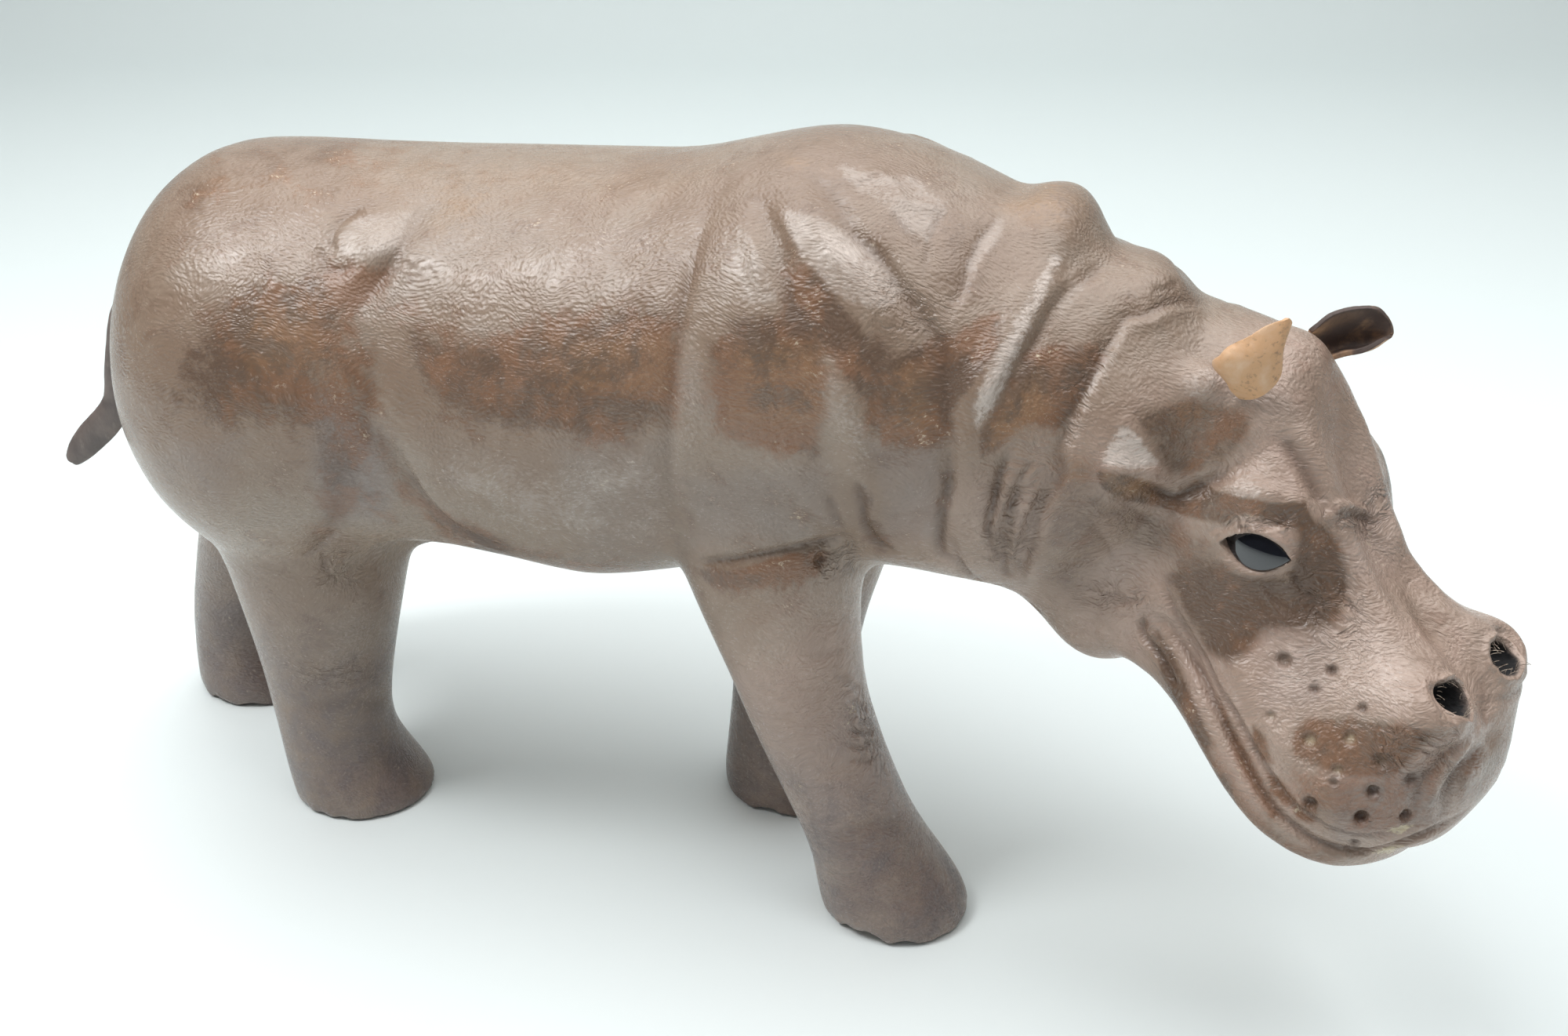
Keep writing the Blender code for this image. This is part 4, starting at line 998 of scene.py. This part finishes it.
class Finish:
    # a material with one surface shader
    def __init__(self, name):
        self.material = bpy.data.materials.new(name)
        self.material.use_nodes = True
        self.tree = self.material.node_tree
        self.shader = self.tree.nodes["Principled BSDF"]

    def node(self, kind, settings=None, values=None, output=0):
        made = self.tree.nodes.new(kind)
        for name, value in (settings or {}).items():
            setattr(made, name, value)
        for name, value in (values or {}).items():
            self.feed(made.inputs[name], value)
        return Wire(self, made.outputs[output])

    def feed(self, socket, value):
        if isinstance(value, Wire):
            self.tree.links.new(value.socket, socket)
        elif socket.type == "RGBA" and len(value) == 3:
            socket.default_value = (*value, 1.0)
        else:
            socket.default_value = value

    def math(self, operation, *values):
        return self.node("ShaderNodeMath", {"operation": operation}, dict(enumerate(values)))

    def limit(self, value, low=0.0, high=1.0):
        return self.node("ShaderNodeClamp", {}, {"Value": value, "Min": low, "Max": high})

    def blend(self, share, first, second):
        settings = {"data_type": "RGBA", "clamp_factor": True}
        return self.node("ShaderNodeMix", settings, {0: share, 6: first, 7: second}, 2)

    def place(self, scale=(1.0, 1.0, 1.0), turn=(0.0, 0.0, 0.0)):
        spot = self.node("ShaderNodeTexCoord", output="Object")
        return self.node("ShaderNodeMapping", {},
                         {"Vector": spot, "Scale": scale, "Rotation": turn})

    def cloud(self, where, scale, detail=4.0, roughness=0.55, warp=0.0, output="Fac"):
        return self.node("ShaderNodeTexNoise", {}, {
            "Vector": where, "Scale": scale, "Detail": detail, "Roughness": roughness,
            "Distortion": warp}, output)

    def cells(self, where, scale):
        return self.node("ShaderNodeTexVoronoi", {"feature": "SMOOTH_F1"},
                         {"Vector": where, "Scale": scale}, "Distance")

    def tone(self, name):
        return self.node("ShaderNodeAttribute", {"attribute_name": name}, output="Fac")

    def step(self, value, low, high):
        return self.node("ShaderNodeMapRange", {"interpolation_type": "SMOOTHSTEP"},
                         {"Value": value, "From Min": low, "From Max": high})

    def bump(self, height, distance, under=None):
        values = {"Height": height, "Distance": distance}
        if under is not None:
            values["Normal"] = under
        return self.node("ShaderNodeBump", {}, values, "Normal")

    def finish(self, **sockets):
        for name, value in sockets.items():
            label = name.replace("_", " ")
            self.feed(self.shader.inputs[label], value)
        return self.material


# the hide's finish

hideFinish = {
    "brown": (0.258, 0.181, 0.131),
    "tan": (0.310, 0.236, 0.178),
    "grey": (0.235, 0.200, 0.190),
    # deep: dark patches, and the tint of the painted shade in creases, wrinkles, pits and on the far
    # legs
    "deep": (0.085, 0.047, 0.030),
    "rust": (0.215, 0.096, 0.045),
    # pale: the tint of the painted highlight, also of the pale grain specks
    "pale": (0.45, 0.38, 0.33),
    "headPale": (0.60, 0.445, 0.375),
    # the tint of the painted sheen
    "paintedSheen": (0.70, 0.61, 0.55),
    "warm": (0.37, 0.232, 0.125),
    "leg": (0.185, 0.148, 0.138),
    # black: the painted shade inside the nostril holes
    "black": (0.008, 0.008, 0.009),
    "cream": (0.62, 0.52, 0.36),
    "rough": 0.24, "roughLimits": (0.14, 0.9), "specular": 0.55,
    "warp": 42.0, "warpBy": (0.016, 0.016, 0.016), "slant": radians(12),
    "mottle": 22.0, "patches": 85.0,
    "grain": 1500.0, "grainDeep": 0.00020,        # leather pores, about a millimetre
    "streaks": 1250.0, "streaksDeep": 0.00013,
    "dents": 70.0, "dentsDeep": 0.0010,
    "wrinkles": 300.0, "wrinklesDeep": 0.0007,
}
# how a painted tone breaks up: its gain, what the patches and the streaks do to its edge,
# where it begins and where it is full, and the most of it that shows
brokenTones = {
    "dusk": (1.45, 3.8, 2.2, 0.12, 1.25, 0.68),
    "paintedHighlight": (1.0, 2.2, 1.8, 0.25, 1.15, 0.70),
    "paintedSheen": (1.0, 1.6, 1.6, 0.25, 1.10, 0.75),
    "worn": (1.0, 3.0, 2.0, 0.50, 1.00, 1.0),
}


def makeHideFinish():
    look = hideFinish
    f = Finish("hide leather")
    where = f.place()
    warp = f.cloud(where, look["warp"], 2.0, 0.5, output="Color")
    bent = f.node("ShaderNodeVectorMath", {"operation": "MULTIPLY_ADD"},
                  {0: warp, 1: look["warpBy"], 2: where})
    slanted = f.node("ShaderNodeMapping", {}, {"Vector": bent, "Scale": (0.6, 1.0, 1.0),
                                               "Rotation": (0.0, look["slant"], 0.0)})
    mottle = f.cloud(where, look["mottle"], 7.0, 0.68, 0.4)
    patchy = f.cloud(where, look["patches"], 6.0, 0.70, 0.3)
    fine = f.cloud(slanted, look["streaks"], 5.0, 0.68)
    grain = f.cells(slanted, look["grain"])
    dents = f.cloud(where, look["dents"], 3.0, 0.5)
    folds = f.cloud(slanted, look["wrinkles"], 3.0, 0.55, 0.6)
    ridges = f.limit(1.0 - f.math("ABSOLUTE", folds * 2.0 - 1.0) * 4.0)
    wrinkled = f.limit(f.tone("wrinkled") + f.tone("headTone") * 0.16)
    patch, streak = patchy - 0.5, fine - 0.5

    def broken(name):
        gain, patches, streaks, low, high, most = brokenTones[name]
        edge = f.tone(name) * gain + patch * patches + streak * streaks
        return f.step(edge, low, high) * most

    # the dusk tint: darker stain, partly painted shade and painted reflection of the dark room
    stainShadeAndReflection = f.blend(f.step(mottle + patch * 0.8, 0.42, 0.60), look["deep"], look["rust"])
    warmth = f.limit(f.tone("warm") * (0.5 + patch * 4.0 + streak * 2.0) * 0.6)
    clear = f.limit(1.0 - f.tone("dusk") * 1.3)
    lighter = f.limit(f.tone("headTone") * clear * (0.42 + patch * 0.9))
    legShare = f.limit(0.25 + mottle * 0.8 + patch * 2.6)
    # from the lowest to the uppermost: how much of each layer shows, and its tint
    layers = (
        (f.step(mottle, 0.40, 0.60), look["tan"]),
        # greyer lower parts, partly painted reflection of the pale floor
        (f.limit(f.tone("grey") + (mottle - 0.5) * 2.0) * 0.7, look["grey"]),
        (f.step(patchy, 0.52, 0.70) * 0.35, look["deep"]),
        (broken("dusk"), stainShadeAndReflection),
        (warmth, look["warm"]),
        # painted highlight and painted reflection
        (broken("paintedHighlight"), look["pale"]),
        (lighter, look["headPale"]),
        # painted highlight
        (broken("paintedSheen"), look["paintedSheen"]),
        # legs: greyer and darker towards the floor, partly their own colour and partly painted shade
        (f.tone("legs") * legShare, look["leg"]),
        # painted shade on the far legs
        (f.tone("farLegShade") * 0.5, look["deep"]),
        (f.step(fine, 0.56, 0.72) * 0.18, look["pale"]),
        (f.step(fine, 0.44, 0.30) * 0.15, look["deep"]),
        (broken("worn"), look["cream"]),
        # painted light on the pits' floors
        (f.tone("paintedPitLight") * 0.8, look["cream"]),
        # painted shade in the creases and folds
        (f.tone("paintedCreaseShade") * 0.5, look["deep"]),
        # painted shade in the grooves of the fine wrinkles
        (ridges * wrinkled * 0.5, look["deep"]),
        # painted shade in the whisker pits
        (f.tone("paintedPitShade") * 0.8, look["deep"]),
        # painted shade in the nostril holes
        (f.tone("holeShade"), look["black"]),
    )
    colour = look["brown"]
    for share, tint in layers:
        colour = f.blend(share, colour, tint)
    rough = look["rough"] + streak * 0.4 + (mottle - 0.5) * 0.3 + f.tone("holeShade") * 0.66
    normal = f.bump(dents, look["dentsDeep"])
    normal = f.bump(ridges * wrinkled * -1.0, look["wrinklesDeep"], under=normal)
    normal = f.bump(fine, look["streaksDeep"], under=normal)
    normal = f.bump(grain, look["grainDeep"], under=normal)
    return f.finish(Base_Color=colour, Roughness=f.limit(rough, *look["roughLimits"]),
                    Normal=normal, Specular_IOR_Level=look["specular"])


hide.data.materials.append(makeHideFinish())
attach(hide, "root")
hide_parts("body")
print("hide finished")

# eyes: polished black glass in the slits

eyeGlass = {"ball": 15.0, "proud": 0.9, "apex": (1.8, -2.2), "back": -3.6, "points": 72,
            "rings": 14, "smear": 900.0, "dark": (0.005, 0.006, 0.009),
            "light": (0.012, 0.013, 0.018)}


def makeEye(name):
    rim, long, tall, out = (Vector(part) for part in eyeFrame(name))
    form = bmesh.new()
    count, ball = eyeGlass["points"], eyeGlass["ball"] * mm
    halfLong, halfTall = eyeCut["length"] * mm / 2, eyeCut["height"] * mm / 2
    apexX, apexY = eyeGlass["apex"][0] * mm, eyeGlass["apex"][1] * mm

    def ringAt(scale, level=None):
        ring = []
        for index in range(count):
            turn = 2 * pi * index / count
            x, y = halfLong * cos(turn) * scale, halfTall * sin(turn) * abs(sin(turn)) * scale
            away = (x - apexX) ** 2 + (y - apexY) ** 2
            dome = (ball ** 2 - away) ** 0.5 - ball + eyeGlass["proud"] * mm
            height = dome if level is None else level
            ring.append(form.verts.new(rim + long * x + tall * y + out * height))
        return ring

    rings = [ringAt(1.0, eyeGlass["back"] * mm)]
    rings += [ringAt(1 - index / eyeGlass["rings"]) for index in range(eyeGlass["rings"])]
    for lower, upper in zip(rings, rings[1:]):
        for index in range(count):
            after = (index + 1) % count
            form.faces.new((lower[index], lower[after], upper[after], upper[index]))
    top = form.verts.new(sum((vert.co for vert in rings[-1]), Vector()) / count)
    for index in range(count):
        form.faces.new((rings[-1][index], rings[-1][(index + 1) % count], top))
    form.faces.new(rings[0])
    bmesh.ops.recalc_face_normals(form, faces=form.faces)
    thing = newThing("glass_" + name, written(form, bpy.data.meshes.new("glass " + name)))
    smoothShaded(thing)
    return thing


def makeGlassFinish():
    f = Finish("black glass")
    smear = f.cloud(f.place(), eyeGlass["smear"], 3.0)
    colour = f.blend(smear, eyeGlass["dark"], eyeGlass["light"])
    return f.finish(Base_Color=colour, Roughness=0.03 + smear * 0.05, Coat_Weight=1.0,
                    Coat_Roughness=0.02, IOR=1.55)


glassFinish = makeGlassFinish()
for name in eyeNames:
    glass = makeEye(name)
    glass.data.materials.append(glassFinish)
    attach(glass, "root")
    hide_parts(name)
print("eyes set")

# frayed fibres round the nostrils' torn edges

fray = {"strands": 34, "long": 2.8, "thick": 0.09, "bend": 1.2, "reach": 1.04, "points": 40,
        "inward": 0.75, "outward": 0.55, "stray": 0.8, "straySeed": 5, "shortest": 0.35,
        "sizeSeed": 9, "joints": 5, "corners": 3}
fibreFinish = {"light": (0.50, 0.42, 0.34), "dark": (0.16, 0.11, 0.08), "shade": 1500.0}


def strandGroup():
    # a group that sets a bent strand on every point of a ring
    group = bpy.data.node_groups.new("strands on a ring", "GeometryNodeTree")
    face = group.interface
    face.new_socket("Geometry", in_out="INPUT", socket_type="NodeSocketGeometry")
    for name, kind in (("Strands", "Int"), ("Long", "Float"), ("Thick", "Float"),
                       ("Bend", "Float"), ("Material", "Material")):
        face.new_socket(name, in_out="INPUT", socket_type="NodeSocket" + kind)
    face.new_socket("Geometry", in_out="OUTPUT", socket_type="NodeSocketGeometry")

    def add(kind, inputs=None, output=0, **settings):
        # adds a node; an input that is a socket is linked, any other is set
        made = group.nodes.new(kind)
        for name, value in settings.items():
            setattr(made, name, value)
        for name, value in (inputs or {}).items():
            if isinstance(value, bpy.types.NodeSocket):
                group.links.new(value, made.inputs[name])
            else:
                made.inputs[name].default_value = value
        return made.outputs[output]

    given = group.nodes.new("NodeGroupInput").outputs
    ring = add("GeometryNodeMeshToCurve", {"Mesh": given["Geometry"]})
    spread = add("GeometryNodeResampleCurve", {"Curve": ring, "Count": given["Strands"]})
    aim = add("GeometryNodeInputNamedAttribute", {"Name": "aim"}, data_type="FLOAT_VECTOR")
    low, high = (-fray["stray"],) * 3, (fray["stray"],) * 3
    stray = add("FunctionNodeRandomValue", {0: low, 1: high, "Seed": fray["straySeed"]},
                data_type="FLOAT_VECTOR")
    lean = add("ShaderNodeVectorMath", {0: aim, 1: stray}, operation="ADD")
    turn = add("FunctionNodeAlignRotationToVector", {"Vector": lean}, axis="Z")
    size = add("FunctionNodeRandomValue", {2: fray["shortest"], 3: 1.0,
                                           "Seed": fray["sizeSeed"]}, 1, data_type="FLOAT")
    tip = add("ShaderNodeCombineXYZ", {"Z": given["Long"]})
    line = add("GeometryNodeCurvePrimitiveLine", {"End": tip})
    joints = add("GeometryNodeResampleCurve", {"Curve": line, "Count": fray["joints"]})
    along = add("GeometryNodeSplineParameter", output="Factor")
    curl = add("ShaderNodeMath", {0: along, 1: along}, operation="MULTIPLY")
    sag = add("ShaderNodeMath", {0: curl, 1: given["Bend"]}, operation="MULTIPLY")
    push = add("ShaderNodeCombineXYZ", {"X": sag})
    bent = add("GeometryNodeSetPosition", {"Geometry": joints, "Offset": push})
    profile = add("GeometryNodeCurvePrimitiveCircle", {"Radius": given["Thick"],
                                                       "Resolution": fray["corners"]})
    strand = add("GeometryNodeCurveToMesh", {"Curve": bent, "Profile Curve": profile,
                                             "Fill Caps": True})
    placed = add("GeometryNodeInstanceOnPoints", {"Points": spread, "Instance": strand,
                                                  "Rotation": turn, "Scale": size})
    real = add("GeometryNodeRealizeInstances", {"Geometry": placed})
    dyed = add("GeometryNodeSetMaterial", {"Geometry": real, "Material": given["Material"]})
    group.links.new(dyed, group.nodes.new("NodeGroupOutput").inputs[0])
    return group


def makeFibreFinish():
    f = Finish("frayed fibres")
    shade = f.cloud(f.place(), fibreFinish["shade"], 3.0)
    colour = f.blend(f.step(shade, 0.35, 0.6), fibreFinish["dark"], fibreFinish["light"])
    return f.finish(Base_Color=colour, Roughness=0.5 + shade * 0.2)


def makeFray():
    form = bmesh.new()
    layer = form.verts.layers.float_vector.new("aim")
    for rim, across, over, out in nostrilFrames:
        ring = []
        for index in range(fray["points"]):
            turn = 2 * pi * index / fray["points"]
            away = Vector(across * cos(turn) + over * sin(turn))
            spot = Vector(rim) + away * nostrilCut["radius"] * mm * fray["reach"]
            ring.append(form.verts.new(hideTree.find_nearest(spot)[0]))
            ring[-1][layer] = -away * fray["inward"] + Vector(out) * fray["outward"]
        for first, second in zip(ring, ring[1:] + ring[:1]):
            form.edges.new((first, second))
    thing = newThing("fray", written(form, bpy.data.meshes.new("fray")))
    group = strandGroup()
    change = thing.modifiers.new("fray", "NODES")
    change.node_group = group
    material = makeFibreFinish()
    given = {"Strands": fray["strands"], "Long": fray["long"] * mm, "Thick": fray["thick"] * mm,
             "Bend": fray["bend"] * mm, "Material": material}
    for item in group.interface.items_tree:
        if item.in_out == "INPUT" and item.name in given:
            change[item.identifier] = given[item.name]
    bake(thing)
    return thing


fibres = makeFray()
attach(fibres, "root")
print("nostrils frayed:", len(fibres.data.polygons), "faces")

# ears: split leather, dark in the hollow, tan and raw on the back and along the margin

earShape = {"levels": 3, "sharpAngle": 50.0, "crease": 0.75, "wave": 0.25, "waveScale": 260.0}
# the way each hollow looks, on the head's axes
earHollows = {"ear_right": (-0.13, 0.91, -0.40), "ear_left": (-0.26, -0.70, 0.67)}
earFinish = {"tan": (0.66, 0.39, 0.21), "dark": (0.085, 0.060, 0.052),
             "cream": (0.78, 0.60, 0.44), "mottle": 120.0, "nap": 900.0, "napDeep": 0.00014}


def creaseSharp(thing, angle):
    form = opened(thing.data)
    layer = form.edges.layers.float.new("crease_edge")
    for edge in form.edges:
        if len(edge.link_faces) == 2 and edge.calc_face_angle() > radians(angle):
            edge[layer] = earShape["crease"]
    written(form, thing.data)


def makeEar(name):
    thing = copyNode(name, "leather_" + name)
    creaseSharp(thing, earShape["sharpAngle"])
    modified(thing, "SUBSURF", levels=earShape["levels"], render_levels=earShape["levels"])
    places, normals = coords(thing.data), pointNormals(thing.data)
    wave = np.array([noise.noise(Vector(place) * earShape["waveScale"]) for place in places])
    setCoords(thing.data, places + normals * (wave * earShape["wave"] * mm)[:, None])
    hollow = np.array(earHollows[name]) @ np.array(headAxes())
    storeTone(thing.data, "hollow", (normals @ hollow) * 2.0 + 0.3)
    smoothShaded(thing)
    return thing


def makeEarFinish():
    look = earFinish
    f = Finish("split leather")
    where = f.place()
    mottle = f.cloud(where, look["mottle"], 5.0, 0.6, 0.3)
    nap = f.cloud(where, look["nap"], 3.0, 0.6)
    raw = f.blend(f.step(mottle, 0.45, 0.75) * 0.7, look["tan"], look["cream"])
    raw = f.blend(f.step(mottle + (nap - 0.5) * 0.6, 0.46, 0.30) * 0.5, raw, look["dark"])
    inner = f.blend(f.step(mottle, 0.45, 0.7) * 0.5, look["dark"], look["tan"])
    colour = f.blend(f.tone("hollow"), raw, inner)
    normal = f.bump(nap, look["napDeep"])
    return f.finish(Base_Color=colour, Roughness=0.5 + nap * 0.25, Normal=normal)


earLeather = makeEarFinish()
for name in earNames:
    ear = makeEar(name)
    ear.data.materials.append(earLeather)
    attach(ear, "root")
    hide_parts(name)
print("ears set")

# tail: a folded strip

tailShape = {"levels": 3}
tailFinish = {"brown": (0.215, 0.170, 0.150), "dark": (0.105, 0.085, 0.078),
              "pale": (0.34, 0.29, 0.26), "mottle": 90.0, "streaks": 500.0,
              "streaksDeep": 0.00025}


def makeTail():
    thing = copyNode("tail", "leather_tail")
    modified(thing, "SUBSURF", levels=tailShape["levels"], render_levels=tailShape["levels"])
    smoothShaded(thing)
    return thing


def makeTailFinish():
    look = tailFinish
    f = Finish("tail leather")
    where = f.place()
    mottle = f.cloud(where, look["mottle"], 5.0, 0.6, 0.3)
    fine = f.cloud(f.place(scale=(1.0, 1.0, 0.4)), look["streaks"], 3.0)
    colour = f.blend(f.step(mottle, 0.3, 0.7), look["brown"], look["dark"])
    colour = f.blend(f.step(fine, 0.55, 0.8) * 0.5, colour, look["pale"])
    normal = f.bump(fine, look["streaksDeep"])
    return f.finish(Base_Color=colour, Roughness=0.3 + fine * 0.25, Normal=normal)


tail = makeTail()
tail.data.materials.append(makeTailFinish())
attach(tail, "root")
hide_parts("tail")
print("tail set")

# floor, backdrop and light

studio = {
    "floorFront": -1.6, "floorBack": 1.15, "wallTop": 2.0, "wide": 4.0,
    "sweep": 0.35, "sweepSteps": 16,
    # paperFar: the paper is painted darker towards the back wall, a painted shade
    "paper": (0.86, 0.93, 0.93), "paperFar": (0.79, 0.865, 0.86),
    "farFrom": 0.05, "farTo": 0.60,
    "zenith": (1.0, 1.0, 1.0), "zenithAt": 0.80,
    "horizon": (0.06, 0.06, 0.065), "horizonAt": 0.28, "worldStrength": 0.55,
}
# place, target, size and power
softboxes = {
    "keySoftbox": ((-0.42, -0.38, 0.90), (0.0, 0.0, 0.10), (0.24, 0.24), 4.2),
    "topSoftbox": ((0.05, 0.10, 1.10), (0.05, 0.05, 0.0), (1.5, 1.1), 11.8),
    "farSoftbox": ((-0.30, 1.05, 1.30), (-0.30, 1.05, 0.0), (2.4, 0.9), 4.0),
}


def makePaper():
    form = bmesh.new()
    rail = [(studio["floorFront"], 0.0), (studio["floorBack"], 0.0)]
    for index in range(1, studio["sweepSteps"] + 1):
        turn = pi / 2 * index / studio["sweepSteps"]
        rail.append((studio["floorBack"] + studio["sweep"] * sin(turn),
                     studio["sweep"] * (1 - cos(turn))))
    rail.append((studio["floorBack"] + studio["sweep"], studio["wallTop"]))
    turn = radians(camera["turn"])
    rows = []
    for side in (-1, 1):
        row = []
        for deep, high in rail:
            x, y = side * studio["wide"] / 2, deep
            row.append(form.verts.new((x * cos(turn) - y * sin(turn),
                                       x * sin(turn) + y * cos(turn), high)))
        rows.append(row)
    for index in range(len(rail) - 1):
        form.faces.new((rows[0][index], rows[1][index], rows[1][index + 1], rows[0][index + 1]))
    bmesh.ops.recalc_face_normals(form, faces=form.faces)
    mesh = written(form, bpy.data.meshes.new("paper"))
    paper = newThing("paper", mesh)
    smoothShaded(paper)
    f = Finish("paper")
    spot = f.node("ShaderNodeSeparateXYZ", {}, {0: f.place(turn=(0.0, 0.0, -turn))}, "Y")
    tooth = f.cloud(f.place(), 6.0, 4.0)
    # painted shade: the paper darkens towards the back wall
    far = f.step(spot + (tooth - 0.5) * 0.05, studio["farFrom"], studio["farTo"])
    mesh.materials.append(f.finish(Base_Color=f.blend(far, studio["paper"], studio["paperFar"]),
                                   Roughness=0.7))


def softbox(name, place, target, size, power):
    data = bpy.data.lights.new(name, "AREA")
    data.shape = "RECTANGLE"
    data.size, data.size_y = size
    data.energy = power
    aim = (Vector(target) - Vector(place)).to_track_quat("-Z", "Y")
    newThing(name, data).matrix_world = Matrix.Translation(place) @ aim.to_matrix().to_4x4()


def makeWorld():
    world = bpy.data.worlds.new("room")
    world.use_nodes = True
    tree = world.node_tree
    back = tree.nodes["Background"]
    spot = tree.nodes.new("ShaderNodeTexCoord")
    split = tree.nodes.new("ShaderNodeSeparateXYZ")
    ramp = tree.nodes.new("ShaderNodeValToRGB")
    stops = ramp.color_ramp.elements
    for stop, name in zip(stops, ("horizon", "zenith")):
        stop.position, stop.color = studio[name + "At"], (*studio[name], 1.0)
    tree.links.new(spot.outputs["Generated"], split.inputs[0])
    tree.links.new(split.outputs["Z"], ramp.inputs[0])
    tree.links.new(ramp.outputs[0], back.inputs["Color"])
    back.inputs["Strength"].default_value = studio["worldStrength"]
    bpy.context.scene.world = world


makePaper()
makeWorld()
for name, settings in softboxes.items():
    softbox(name, *settings)
print("studio set")
